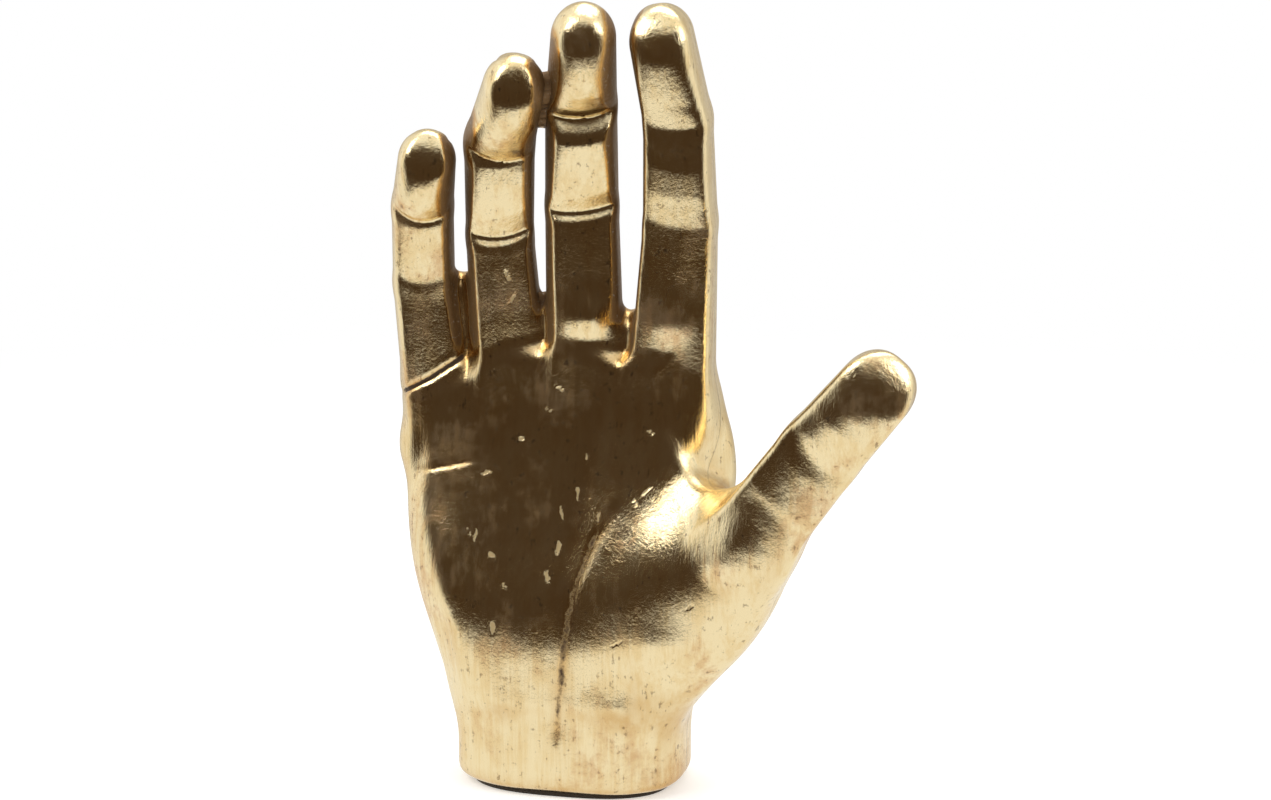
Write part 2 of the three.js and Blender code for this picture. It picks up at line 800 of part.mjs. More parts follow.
const group = new THREE.Group();
function addPiece(name, made, colour, roughness, metalness) {
  const geometry = tidied(made.getMesh());
  geometry.computeVertexNormals();
  const material = new THREE.MeshStandardMaterial({
    color: colour,
    roughness,
    metalness,
    flatShading: true,
  });
  const piece = new THREE.Mesh(geometry, material);
  piece.name = name;
  group.add(piece);
}
addPiece("palm_shell", palmHalf, 0xb8924a, 0.35, 0.9);
addPiece("back_shell", backHalf, 0xb8924a, 0.35, 0.9);
addPiece("ballast_block", ballast, 0x8f8b84, 0.95, 0);
addPiece("base_plate", plate, 0x5a4630, 0.7, 0);
addPiece("vent_bung", bung, 0x1c1c1c, 0.8, 0);
addPiece("felt_sheet", felt, 0x2a231c, 1, 0);

export default group;
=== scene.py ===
import math

import bpy
import numpy as np
from bpy.props import FloatProperty, FloatVectorProperty, PointerProperty
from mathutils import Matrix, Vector


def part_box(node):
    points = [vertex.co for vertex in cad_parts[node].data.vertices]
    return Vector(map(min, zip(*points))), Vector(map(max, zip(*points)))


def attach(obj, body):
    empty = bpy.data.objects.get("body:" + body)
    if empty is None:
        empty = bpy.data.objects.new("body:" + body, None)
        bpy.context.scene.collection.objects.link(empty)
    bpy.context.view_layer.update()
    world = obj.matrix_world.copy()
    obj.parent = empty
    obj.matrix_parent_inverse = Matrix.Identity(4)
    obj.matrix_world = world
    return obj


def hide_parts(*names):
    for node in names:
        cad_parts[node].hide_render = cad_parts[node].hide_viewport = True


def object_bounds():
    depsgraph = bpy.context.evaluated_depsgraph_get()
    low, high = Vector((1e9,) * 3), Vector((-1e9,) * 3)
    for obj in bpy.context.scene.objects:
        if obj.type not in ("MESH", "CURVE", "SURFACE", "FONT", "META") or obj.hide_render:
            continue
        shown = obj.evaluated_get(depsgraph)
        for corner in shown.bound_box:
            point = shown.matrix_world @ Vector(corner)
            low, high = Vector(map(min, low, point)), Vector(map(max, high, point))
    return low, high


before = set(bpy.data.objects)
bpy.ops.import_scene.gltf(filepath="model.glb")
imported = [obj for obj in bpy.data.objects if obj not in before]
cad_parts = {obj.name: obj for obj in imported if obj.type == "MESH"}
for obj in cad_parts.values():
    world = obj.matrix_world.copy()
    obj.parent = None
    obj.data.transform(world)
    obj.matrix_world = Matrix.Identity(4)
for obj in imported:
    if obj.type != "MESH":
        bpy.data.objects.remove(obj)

bl_info = {
    "name": "Gilded hand",
    "version": (1, 0, 0),
    "blender": (4, 5, 0),
    "location": "View3D > Sidebar > Hand",
    "description": "A standing open hand, cast in two halves, gilded and weighted in the wrist",
    "category": "Add Mesh",
}

cad_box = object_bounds()
MM = 1000.0


# Sizes, finishes and studio

def length(name, description, default):
    return FloatProperty(name=name, description=description, default=default, min=0.0,
                         subtype="DISTANCE", unit="LENGTH", precision=4)


def colour(name, description, default):
    return FloatVectorProperty(name=name, description=description, default=default, size=3,
                               min=0.0, max=1.0, subtype="COLOR")


def share(name, description, default):
    return FloatProperty(name=name, description=description, default=default, min=0.0, max=1.0,
                         subtype="FACTOR")


class HandSizes(bpy.types.PropertyGroup):
    wrist_width: length("Wrist width", "Across the wrist", 0.107)
    wrist_depth: length("Wrist depth", "From the front of the wrist to its back", 0.080)
    wrist_height: length("Wrist height", "From the rest face to the palm", 0.052)
    palm_length: length("Palm length", "From the wrist to the middle knuckle", 0.126)
    knuckle_span: length("Knuckle span", "From the little knuckle to the index knuckle", 0.108)
    finger_length: length("Finger length", "Middle knuckle to the end of its tip bone", 0.174)
    thumb_length: length("Thumb length", "Thumb knuckle to the end of its tip bone", 0.0975)
    wall: length("Wall", "Thickness of the casting round its hollow", 0.010)
    wrist_wall: length("Wrist wall", "Thickness of the casting round the ballast", 0.012)
    hollow_height: length("Hollow height", "How far the hollow goes up from the wrist", 0.120)
    seam: length("Seam", "Hairline between the two halves", 0.00008)
    skin_cell: length("Skin cell", "How finely the gilded skin is cut up", 0.00108)
    rough_cell: length("Rough cell", "How finely the first form is cut up", 0.003)


class HandFinish(bpy.types.PropertyGroup):
    leaf: colour("Gold leaf", "Clean gold leaf", (0.92, 0.775, 0.475))
    # Amber is painted shade in folds and hollows, between the fingers and along the bottom rim, and lacquer
    # with painted shade in the lines of the palm.
    amber: colour("Amber lacquer", "Lacquer that has gathered beside folds", (0.62, 0.36, 0.11))
    # The bole also stands for painted shade deep in folds, hollows and the lines of the palm.
    bole: colour("Bole", "Brown ground that shows where the leaf has gone", (0.075, 0.042, 0.020))
    # The dust flecks only the painted shade on the fingers' sides that face the next finger.
    dust: colour("Dust", "Pale film on worn flanks", (0.50, 0.46, 0.40))
    leaf_roughness: share("Leaf roughness", "Roughness of clean leaf", 0.17)
    cement: colour("Cement", "Ballast in the wrist", (0.33, 0.32, 0.29))
    board: colour("Hardboard", "Board that closes the wrist", (0.23, 0.13, 0.065))
    rubber: colour("Rubber", "Bung in the vent", (0.022, 0.021, 0.020))
    felt: colour("Felt", "Felt under the wrist", (0.055, 0.038, 0.024))


class HandStudio(bpy.types.PropertyGroup):
    floor: colour("Floor", "Table and backdrop", (0.86, 0.855, 0.84))
    dark_side: colour("Dark side", "Unlit side of the room, which the metal reflects",
                      (0.058, 0.0352, 0.0185))
    far_side: colour("Far side", "Wall behind, as the metal reflects it", (0.62, 0.58, 0.52))
    table_reach: length("Lit table", "How far in front of the hand the table is lit", 0.40)
    camera_azimuth: FloatProperty(name="Camera azimuth", description="Turn to the thumb's side",
                                  default=math.radians(15), subtype="ANGLE", unit="ROTATION")
    camera_reach: length("Camera reach", "From the hand's axis to the camera, level", 1.3)
    camera_height: length("Camera height", "Above the table", 0.44)
    camera_lens: FloatProperty(name="Lens", description="Focal length in millimetres",
                               default=82.4, min=10.0, max=300.0)


# Anatomy

# A place on the palm: shares of the knuckle span across and back, and of the palm's length up.
# A digit: where its bone leaves the wrist, its knuckle, the radii at those two, the steps from joint to
# joint and the radius at each joint and the tip. Its palm side is a table of millimetres from the
# knuckle and millimetres out from the bone. "round" bends that side across, "smile" bends the folds and
# "slant" tips them. "turn" turns its face to the thumb's side, in degrees, and "square" is the power of its
# section, 2 for an ellipse. A swell is a place along and across, a height, a length and a width.
DIGITS = {
    "index": dict(
        wrist=(0.204, 0.019, 0.048), knuckle=(0.407, 0.074, 0.984), palm_thick=(0.259, 0.194),
        steps=((0.057, -0.049, 0.49), (0.008, -0.052, 0.27), (-0.048, -0.056, 0.209)),
        thick=(0.18, 0.149, 0.137, 0.128),
        palm_side=((0, 17), (30, 16.4), (60, 15.4), (88, 14.6), (103, 16.3), (115, 16.7), (132.6, 15),
                   (134, 14.8), (150, 16.9), (166, 18.7), (169, 18.5), (172, 17.8), (177, 15.6),
                   (182, 12), (188, 5), (196, -8)),
        round=((0, 0.004), (130, 0.006), (160, 0.012), (180, 0.03)), smile=0.012, slant=-0.12,
        turn=4, square=3,
        swells=((44, 0, 2.2, 9, 9.5),),
    ),
    "middle": dict(
        wrist=(0.037, 0.037, 0.048), knuckle=(0.037, 0.074, 1), palm_thick=(0.278, 0.19),
        steps=((0.007, -0.056, 0.52), (0.032, -0.08, 0.27), (0.049, -0.091, 0.172)),
        thick=(0.167, 0.153, 0.147, 0.132),
        palm_side=((0, 16.2), (30, 15.8), (60, 15), (86, 14.4), (91, 10.9), (92, 11), (101, 14.2),
                   (107, 14.9), (127, 17), (131, 16.1), (134, 13.6), (137.4, 10.4), (139.4, 10.4),
                   (142, 13), (147, 15.8), (155, 18.4), (160, 19.2), (166, 19.2), (174, 18.2),
                   (180, 16.2), (186, 12.6), (190, 9), (194, 3), (198, -6)),
        round=((0, 0.003), (120, 0.006), (134, 0.012), (165, 0.028)), smile=0.01, slant=0.10,
        turn=18, square=2,
        swells=((43, 0, 2.8, 9, 10),),
    ),
    "ring": dict(
        wrist=(-0.13, 0.037, 0.048), knuckle=(-0.287, 0.074, 0.952), palm_thick=(0.278, 0.181),
        steps=((-0.022, -0.063, 0.47), (0.038, -0.077, 0.251), (0.114, -0.111, 0.152)),
        thick=(0.163, 0.142, 0.146, 0.126),
        palm_side=((0, 16.2), (30, 15.4), (60, 14.4), (80, 13.8), (84.6, 10), (85.6, 10.1), (98, 13.8),
                   (106, 14.9), (114, 15.3), (123, 15.3), (125, 14.6), (127, 12), (128.4, 12),
                   (132, 15), (140, 17.4), (149, 18.8), (156, 18.9), (163, 17.2), (170, 13.6),
                   (176, 7.5), (182, -3)),
        round=((0, 0.003), (120, 0.005), (132, 0.014), (150, 0.03)), smile=0.02, slant=0.08,
        turn=20, square=2,
        swells=(),
    ),
    "little": dict(
        wrist=(-0.259, 0.019, 0.048), knuckle=(-0.593, 0.056, 0.802), palm_thick=(0.25, 0.171),
        steps=((-0.051, -0.053, 0.45), (0.031, -0.062, 0.208), (0.054, -0.064, 0.125)),
        thick=(0.155, 0.131, 0.129, 0.12),
        palm_side=((0, 15.4), (30, 14.6), (60, 13.8), (79, 13.4), (82.6, 12.7), (95, 13), (112, 13.6),
                   (114, 13), (115.4, 11.6), (116.4, 11.7), (119, 14), (126, 16.2), (131, 17),
                   (137, 16.8), (142, 15.4), (147, 12.6), (152, 7.8), (157, 1), (162, -8)),
        round=((0, 0.003), (112, 0.005), (122, 0.016), (140, 0.03)), smile=0.035, slant=0.0,
        turn=14, square=2,
        swells=(),
    ),
    "thumb": dict(
        wrist=(0.463, -0.093, 0.175), knuckle=(0.81, -0.333, 0.563), palm_thick=(0.245, 0.204),
        steps=((0.322, -0.06, 0.48), (0.219, -0.085, 0.294)),
        thick=(0.18, 0.168, 0.155),
        palm_side=((-20, 1), (-10, 4.6), (0, 8), (15, 11.6), (30, 13.6), (50, 13.4), (57, 12.8), (60, 12.8),
                   (66, 13.8), (78, 14.8), (90, 14.2), (99, 12), (106, 8), (112, 2), (120, -9)),
        round=((0, 0.008), (60, 0.008), (90, 0.02)), smile=0.01, slant=0.0,
        turn=0, square=3,
        swells=(),
    ),
}
# The palm side of the palm: how far forward it is, in millimetres, at places across and up.
PALM_ACROSS = (-75, -68, -60, -45, -30, -15, 0, 10, 20, 30, 45, 60, 75, 90, 105)
PALM_FORWARD = {
    215: (9, 9.5, 10, 11, 11.4, 11.4, 11, 11, 11, 11, 11, 9, 6, 4, 2),
    205: (10, 11, 11.4, 11.6, 11.6, 11.6, 11.2, 11.2, 11.4, 11.4, 11, 9, 7, 5, 3),
    190: (11, 11.8, 12.2, 12.4, 12.2, 12, 12, 12, 12, 12, 11.6, 11, 12, 14, 16),
    175: (12.6, 13.4, 13.8, 14, 13.6, 13.3, 13.2, 13.4, 13.6, 13.8, 14, 14, 16.5, 24, 30),
    160: (14.4, 15.4, 16, 16.2, 15.8, 15.5, 15.8, 16.1, 16.6, 17.2, 17.4, 18, 23, 34, 44),
    145: (16.6, 18.6, 20, 20.2, 19.2, 18.6, 18.8, 19.2, 20.2, 21, 21.6, 24, 32, 44, 51),
    130: (19.4, 22.6, 24.4, 25, 23.6, 22.4, 22.4, 23.2, 24.5, 26, 28.8, 33.8, 40.8, 47.4, 51),
    115: (20, 25.6, 29, 29.8, 28, 26.8, 26.6, 27.8, 29.6, 31.8, 35.8, 39.8, 43.8, 47.6, 50),
    100: (20, 26.4, 31.4, 33.6, 32.6, 31.8, 31.8, 33, 34.8, 36.6, 39.4, 42, 44.2, 45.6, 45),
    85: (18, 24, 31, 36, 36.6, 36, 35.6, 36.3, 37.4, 38.8, 40.8, 42.2, 42.4, 40.5, 36),
    70: (15, 20, 28, 36.4, 38, 38, 37.6, 38, 38.6, 39.4, 40.6, 40.4, 38, 34, 29),
    55: (10, 15, 23, 34.4, 38, 38.2, 37.8, 38, 38.2, 38, 36, 33, 29, 24, 19),
    40: (8, 12, 20, 31, 37.5, 38.4, 38, 38.4, 38.9, 38.8, 37, 32, 26, 20, 16),
    25: (8, 12, 20, 30, 37, 38.5, 38.2, 38.5, 38.7, 37.8, 30, 24, 18, 14, 10),
    10: (8, 12, 20, 30, 37, 38.5, 38.2, 38.5, 38.7, 37.8, 30, 24, 18, 14, 10),
}
# The flesh under that side: its edge towards the little finger, its edge towards the thumb, and its end
# between the fingers.
CORE_OUTER = ((40, -46), (60, -48), (75, -50), (90, -56), (110, -61), (130, -64), (150, -66),
              (170, -69), (190, -70))
CORE_INNER = ((40, 36), (60, 38), (72, 36), (85, 32), (100, 34), (115, 42), (130, 54), (145, 64),
              (160, 54), (175, 46), (205, 44))
CORE_TOP = ((-75, 172), (-60, 184), (-48, 189), (-30, 200), (-8, 203), (8, 203), (25, 200), (45, 198))
# The pads of the palm: centre and half sizes in the same shares, and the lean of the long axis.
PALM_PADS = (
    ((0.547, -0.222, 0.365), (0.33, 0.25, 0.413), 38),
    ((-0.43, -0.074, 0.41), (0.25, 0.25, 0.45), -11),
    ((-0.083, 0.028, 0.984), (0.667, 0.157, 0.19), 8),
    ((0.435, 0.111, 0.714), (0.241, 0.157, 0.333), 6),
)
# Skin between neighbouring digits: two ends and a radius.
WEBS = (
    ((0.25, 0.074, 1.016), (0.231, 0.046, 1.246), 0.093),
    ((-0.12, 0.074, 1.016), (-0.139, 0.046, 1.286), 0.093),
    ((-0.444, 0.074, 0.976), (-0.481, 0.037, 1.373), 0.083),
    ((0.556, -0.074, 0.619), (0.815, -0.315, 0.556), 0.13),
)
# The furrow up the palm beside the base of the thumb, as the hollow follows it, and its radius.
FURROW = (
    (-0.056, -0.463, -0.206), (-0.028, -0.435, 0.048), (0.019, -0.352, 0.381),
    (0.074, -0.296, 0.778),
)
FURROW_THICK = 0.12
# Lines pressed into the palm side, seen from the front: points (across, up) in millimetres, depth,
# half width and stain, which is lacquer and painted crease shade.
PRESSED = (
    (((18, 214), (10, 150), (4.7, 83), (2.5, 10)), 0.9, 7.0, 0.25),
    (((30, 140), (16, 120), (9, 100), (6, 83), (3.6, 60), (1, 30)), 0.9, 3.4, 0.85),
    (((5, 74), (2.4, 50), (0.6, 22)), 1.4, 2.6, 0.7),
    (((-72, 145), (-56, 149), (-40, 152.5)), 0.5, 1.5, 0.5),
    (((-84, 177.5), (-64, 188), (-48, 199)), 1.5, 1.4, 1.0),
)
# Lumps that the first form has besides its bones: two ends and a radius.
FILLING = (
    ((8, -18, 62), (2, -6, 188), 16), ((28, -20, 75), (34, -4, 180), 16),
    ((-30, -18, 62), (-34, -4, 170), 15), ((50, -14, 138), (44, -2, 178), 14),
    ((34, -26, 66), (60, -26, 112), 18),
)
# Bare flakes on the palm: place across and up, length, width and lean in degrees.
CHIPS = (
    (0, 130.6, 8, 1.6, 12), (7, 139.3, 6, 1.9, 5), (-38.9, 120, 7, 1.2, -8), (-42, 121, 4, 1.1, 12),
    (17.5, 129.8, 4.5, 1.4, 0), (-0.4, 115.6, 6.5, 2.0, -8), (-4.8, 103, 6, 2.0, 22),
    (-31, 111, 3.6, 2.0, 60), (39.4, 143.2, 5.5, 1.1, -45), (39.8, 168.5, 3.6, 1.2, 70),
    (34.5, 138.4, 4.5, 1.0, 30), (-28.5, 79, 6, 2.4, 0), (-36, 147, 5, 1.4, -70),
    (-20.4, 162.5, 3, 1.2, 80), (-24, 98, 3, 1.2, 45), (10, 156, 3.5, 1.2, 10),
    (-27, 237, 6, 1.0, 25), (-25, 226, 5, 1.0, -30), (-3, 186, 5, 1.2, 60), (-8, 176, 4, 1.2, 80),
    (64, 96, 4, 1.0, -50), (30, 76, 5, 1.1, -60),
)

FINGERS = ("index", "middle", "ring", "little")
# The wrist: how square its outline is, how far it fades into the palm, the height at which the casting
# starts over the rest face, and how its lower rim is rounded.
WRIST_SQUARENESS = 2.7
HEEL_BLEND = 12.0
STANDING = 2.0
RIM_ROUND = 7.0
# How much longer than a ball a digit's end is, and how much deeper its front is than its back.
TIP_STRETCH = 1.12
FRONT_STRETCH = 1.4
# A digit's folds, flats and nail are worked out only this close to its bones.
NEAR = 9.0
# A digit's palm side is rounded off a little at each point of its table and more near the tip, from this
# far before the tip's centre and over this length. Nail and folds fade in over a depth behind the bone.
CORNER_SOFT, TIP_SOFT, TIP_FROM, TIP_FADE = 0.8, 2.8, 14, 12
BEHIND_FADE = 4
# How softly forms run together, in millimetres.
BONE_BLEND, PAD_BLEND, CORE_BLEND, TABLE_BLEND, FURROW_BLEND = 18, 10, 8, 6, 5
FLAT_BLEND, JOINT_BLEND, BETWEEN_FINGERS, FINGER_BLEND, THUMB_BLEND = 2.6, 1.6, 0.6, 7, 8
WEB_BLENDS = (5, 5, 5, 9)
BACK_BLEND = 0.5
# The palm side's flesh: how far back and how far forward it goes, and where it starts over the rest face.
CORE_BACK, CORE_FRONT, CORE_LOW = 5, -46, 40
# The table's side slopes, so that its distance is a little less than its depth.
TABLE_EASE = 0.85
# A nail: how far before the tip's centre its middle is, half its length, half its width as a share of the
# digit's radius, its height, and the depth of the groove round it.
NAIL_BACK, NAIL_HALF, NAIL_WIDE, NAIL_HEIGHT, NAIL_GROOVE = 1.5, 11, 0.66, 0.8, 0.5
# Folds on the back of each joint: place along and depth.
JOINT_FOLDS = ((-3.4, 0.5), (0, 0.8), (3.2, 0.5))
# Height and width of the knuckles and of the tendons on the back of the palm.
KNUCKLE = (2.4, 9.5)
TENDON = (1.3, 3.2)
# The parting surface: how far each bone's depth spreads, where it starts under the wrist, and how far
# from it the lines of the palm and the tendons of the back fade in.
SEAM_SPREAD = 12.0
SEAM_START = -24
SEAM_FADE = 6
# The vent through the board: from the wrist's inner wall to its middle, and its radius.
VENT_EDGE = 17.5
VENT_RADIUS = 8.0
# How far the casting's back stays inside the CAD box.
CLEARANCE = 0.1


def spread(points, places, soft=None):
    """Values between given points, with their corners rounded over a softness."""
    at, values = zip(*points)
    if soft is None:
        return np.interp(places, at, values)
    return sum(np.interp(places + soft * k, at, values) for k in (-1.2, -0.4, 0.4, 1.2)) / 4


def blend_min(a, b, soft):
    """The nearer of two distances, so that their forms run together softly."""
    near = np.maximum(soft - np.abs(a - b), 0) / soft
    return np.minimum(a, b) - near * near * soft / 4


def blend_max(a, b, soft):
    """The further of two distances, which keeps what two forms share."""
    return -blend_min(-a, -b, soft)


def spline_weights(at, places):
    """What each table value adds to a smooth curve through the table, at each place."""
    at = np.asarray(at, float)
    count, gaps = len(at), np.diff(at)
    system, right = np.eye(count), np.zeros((count, count))
    for i in range(1, count - 1):
        system[i, i - 1:i + 2] = gaps[i - 1], 2 * (gaps[i - 1] + gaps[i]), gaps[i]
        right[i, i - 1:i + 2] = 6 / gaps[i - 1], -6 / gaps[i - 1] - 6 / gaps[i], 6 / gaps[i]
    bends = np.linalg.solve(system, right)
    places = np.clip(places, at[0], at[-1])
    i = np.clip(np.searchsorted(at, places) - 1, 0, count - 2)
    t = ((places - at[i]) / gaps[i])[:, None]
    ends, pull = np.eye(count), (gaps[i] ** 2 / 6)[:, None]
    return ((1 - t) * ends[i] + t * ends[i + 1]
            + pull * (((1 - t) ** 3 - (1 - t)) * bends[i] + (t ** 3 - t) * bends[i + 1]))


class Limb:
    """A bone with its flesh: tapered, squarish in section and round at the ends."""

    def __init__(self, start, end, start_radius, end_radius, turn=0, square=3):
        self.start, self.end = np.array(start, float), np.array(end, float)
        step = self.end - self.start
        self.length = np.linalg.norm(step)
        self.along = step / self.length
        self.square = square
        turn = math.radians(turn)
        across = np.cross((math.sin(turn), -math.cos(turn), 0), self.along)
        self.across = across / np.linalg.norm(across)
        self.front = np.cross(self.along, self.across)
        self.radii = (start_radius, end_radius)

    def place(self, points):
        """How far points lie along a bone, across it and out to its front."""
        off = points - self.start
        return off @ self.along, off @ self.across, off @ self.front

    def radius(self, along):
        held = np.clip(along / self.length, 0, 1)
        return self.radii[0] + (self.radii[1] - self.radii[0]) * held

    def distance(self, points, front_stretch=1.0):
        along, side, deep = self.place(points)
        past = along - np.clip(along, 0, self.length)
        if front_stretch != 1.0:
            deep = np.where(deep > 0, deep / front_stretch, deep)
        if self.square == 2:
            section = np.hypot(side, deep)
        else:
            side, deep = np.abs(side), np.abs(deep)
            section = np.cbrt(side * side * side + deep * deep * deep)
        return np.hypot(section, past / TIP_STRETCH) - self.radius(along)


class Pad:
    """A fleshy pad, an ellipsoid."""

    def __init__(self, centre, axes, half):
        self.centre, self.axes, self.half = np.array(centre), np.array(axes), np.array(half)

    def distance(self, points):
        places = (points - self.centre) @ self.axes.T / self.half
        near = (places ** 2).sum(1)
        steep = ((places / self.half) ** 2).sum(1)
        reach = np.sqrt(near)
        return reach * (reach - 1) / np.sqrt(np.maximum(steep, 1e-12))


class Hand:
    """The form of the hand as distances in millimetres, below 0 inside."""

    def __init__(self, sizes):
        self.half_x, self.half_y = sizes.wrist_width * MM / 2, sizes.wrist_depth * MM / 2
        self.wrist_top = sizes.wrist_height * MM
        self.palm = sizes.palm_length * MM
        self.span = sizes.knuckle_span * MM
        self.wall = sizes.wall * MM
        self.hollow_top = self.wrist_top + sizes.hollow_height * MM
        self.back = cad_box[1][1] * MM - CLEARANCE
        reach = {name: sizes.finger_length * MM for name in DIGITS}
        reach["thumb"] = sizes.thumb_length * MM
        self.digits = {name: self.digit(d, reach[name]) for name, d in DIGITS.items()}
        self.bones = [
            Limb(self.spot(d["wrist"]), self.spot(d["knuckle"]), *self.wide(d["palm_thick"]))
            for d in DIGITS.values()
        ]
        self.pads = []
        for centre, half, lean in PALM_PADS:
            up = np.array((math.tan(math.radians(lean)), 0, 1))
            up /= np.linalg.norm(up)
            back = np.array((0.0, 1.0, 0.0))
            sizes_mm = (half[0] * self.span, half[1] * self.span, half[2] * self.palm)
            self.pads.append(Pad(self.spot(centre), (np.cross(back, up), back, up), sizes_mm))
        self.webs = [Limb(self.spot(a), self.spot(b), r * self.span, r * self.span)
                     for a, b, r in WEBS]
        self.furrow = [
            Limb(self.spot(a), self.spot(b), FURROW_THICK * self.span, FURROW_THICK * self.span)
            for a, b in zip(FURROW, FURROW[1:])
        ]
        sides = [Limb((x, 0, SEAM_START), (x, 0, self.wrist_top), 1, 1)
                 for x in (-self.half_x * 2 / 3, self.half_x * 2 / 3)]
        self.seam_bones = self.bones + [b for d in self.digits.values() for b in d["limbs"]] + sides

    def spot(self, shares):
        """A place in millimetres from its shares."""
        return np.array((shares[0] * self.span, shares[1] * self.span,
                         self.wrist_top + shares[2] * self.palm))

    def wide(self, shares):
        return [v * self.span for v in shares]

    def digit(self, d, reach):
        joints = [self.spot(d["knuckle"])]
        for across, back, up in d["steps"]:
            joints.append(joints[-1] + (across * self.span, back * reach, up * reach))
        thick = self.wide(d["thick"])
        limbs = [Limb(*joints[i:i + 2], *thick[i:i + 2], d["turn"], d["square"])
                 for i in range(len(joints) - 1)]
        starts = np.concatenate(([0], np.cumsum([b.length for b in limbs])))
        return dict(d, limbs=limbs, starts=starts)

    def digit_distance(self, digit, points):
        """A digit's plain form, with its detail near it."""
        whole = np.min([bone.distance(points, FRONT_STRETCH) for bone in digit["limbs"]], axis=0)
        near = whole < NEAR
        if near.any():
            whole[near] = self.digit_detail(digit, points[near])
        return whole

    def digit_detail(self, digit, points):
        whole = None
        for start, bone in zip(digit["starts"], digit["limbs"]):
            form = bone.distance(points, FRONT_STRETCH)
            along, side, deep = bone.place(points)
            place = start + along
            folded = place - digit["smile"] * side ** 2 + digit["slant"] * side
            to_tip = (place - digit["starts"][-1] + TIP_FROM) / TIP_FADE
            soft = CORNER_SOFT + TIP_SOFT * np.clip(to_tip, 0, 1)
            out = spread(digit["palm_side"], folded, soft) - spread(digit["round"], place) * side ** 2
            for at, off, height, long, wide in digit["swells"]:
                out = out + height * np.exp(-((place - at) / long) ** 2 - ((side - off) / wide) ** 2)
            form = blend_max(form, deep - out, FLAT_BLEND)
            behind = self.behind(digit, place, side, bone.radius(along))
            form = form - behind * np.clip(-deep / BEHIND_FADE, 0, 1)
            whole = form if whole is None else blend_min(whole, form, JOINT_BLEND)
        return whole

    def behind(self, digit, place, side, radius):
        """The nail, raised on the back of a digit, and the folds over its joints."""
        tip = digit["starts"][-1]
        plate = ((place - tip + NAIL_BACK) / NAIL_HALF) ** 4 + (side / (NAIL_WIDE * radius)) ** 4
        high = NAIL_HEIGHT * np.clip((1.2 - plate) / 0.35, 0, 1)
        high -= NAIL_GROOVE * np.exp(-((plate - 1.7) / 0.4) ** 2)
        for joint in digit["starts"][1:-1]:
            for off, deep in JOINT_FOLDS:
                fold = np.exp(-((place - joint - off - side ** 2 * 0.004 * off) / 0.9) ** 2)
                high -= deep * fold * np.exp(-(side / (0.75 * radius)) ** 4)
        return high

    def wrist_distance(self, points):
        """The wrist, with its top fading into the palm."""
        across = np.abs(points[:, 0] / self.half_x) ** WRIST_SQUARENESS
        through = np.abs(points[:, 1] / self.half_y) ** WRIST_SQUARENESS
        side = ((across + through) ** (1 / WRIST_SQUARENESS) - 1) * self.half_y
        return blend_max(side, points[:, 2] - self.wrist_top - HEEL_BLEND, HEEL_BLEND)

    def palm_flesh(self, points):
        form = self.wrist_distance(points)
        for bone in self.bones:
            form = blend_min(form, bone.distance(points), BONE_BLEND)
        for pad in self.pads:
            form = blend_min(form, pad.distance(points), PAD_BLEND)
        return form

    def palm_distance(self, points):
        form = self.palm_flesh(points)
        for groove in self.furrow:
            form = blend_max(form, -groove.distance(points), FURROW_BLEND)
        return form

    def palm_skin(self, points):
        """The palm, filled out towards the front and shaped there by the table."""
        x, y, z = points.T
        core = np.max((spread(CORE_OUTER, z) - x, x - spread(CORE_INNER, z), y - CORE_BACK,
                       CORE_FRONT - y, z - spread(CORE_TOP, x), CORE_LOW - z), axis=0)
        form = blend_min(self.palm_flesh(points), core, CORE_BLEND)
        heights = sorted(PALM_FORWARD)
        table = np.array([PALM_FORWARD[height] for height in heights], float)
        forward = np.einsum("ni,ij,nj->n", spline_weights(heights, z), table,
                            spline_weights(PALM_ACROSS, x))
        return blend_max(form, (-forward - y) * TABLE_EASE, TABLE_BLEND)

    def raised(self, points):
        """Knuckles and tendons on the back of the palm."""
        high = np.zeros(len(points))
        for bone in self.bones[:4]:
            off = points[:, [0, 2]] - bone.end[[0, 2]]
            high += KNUCKLE[0] * np.exp(-(off ** 2).sum(1) / KNUCKLE[1] ** 2)
            step = bone.start[[0, 2]] - bone.end[[0, 2]]
            t = np.clip(off @ step / np.hypot(*step) ** 2, 0, 1)
            reach = np.hypot(*(off - t[:, None] * step).T)
            ends = np.clip(t / 0.12, 0, 1) * np.clip(1.1 - 1.5 * t, 0, 1)
            high += TENDON[0] * np.exp(-(reach / TENDON[1]) ** 2) * ends
        return high

    def skin(self, points):
        """The finished surface, with folds and creases."""
        form = self.palm_skin(points)
        fingers = None
        for name in FINGERS:
            near = self.digit_distance(self.digits[name], points)
            fingers = near if fingers is None else blend_min(fingers, near, BETWEEN_FINGERS)
        thumb = self.digit_distance(self.digits["thumb"], points)
        form = blend_min(blend_min(form, fingers, FINGER_BLEND), thumb, THUMB_BLEND)
        for web, soft in zip(self.webs, WEB_BLENDS):
            form = blend_min(form, web.distance(points), soft)
        facing = self.facing(points)
        form = form + self.pressed(points) * np.clip(facing, 0, 1)
        form = form - self.raised(points) * np.clip(-facing, 0, 1)
        form = blend_max(form, points[:, 1] - self.back, BACK_BLEND)
        return blend_max(form, STANDING - points[:, 2], RIM_ROUND)

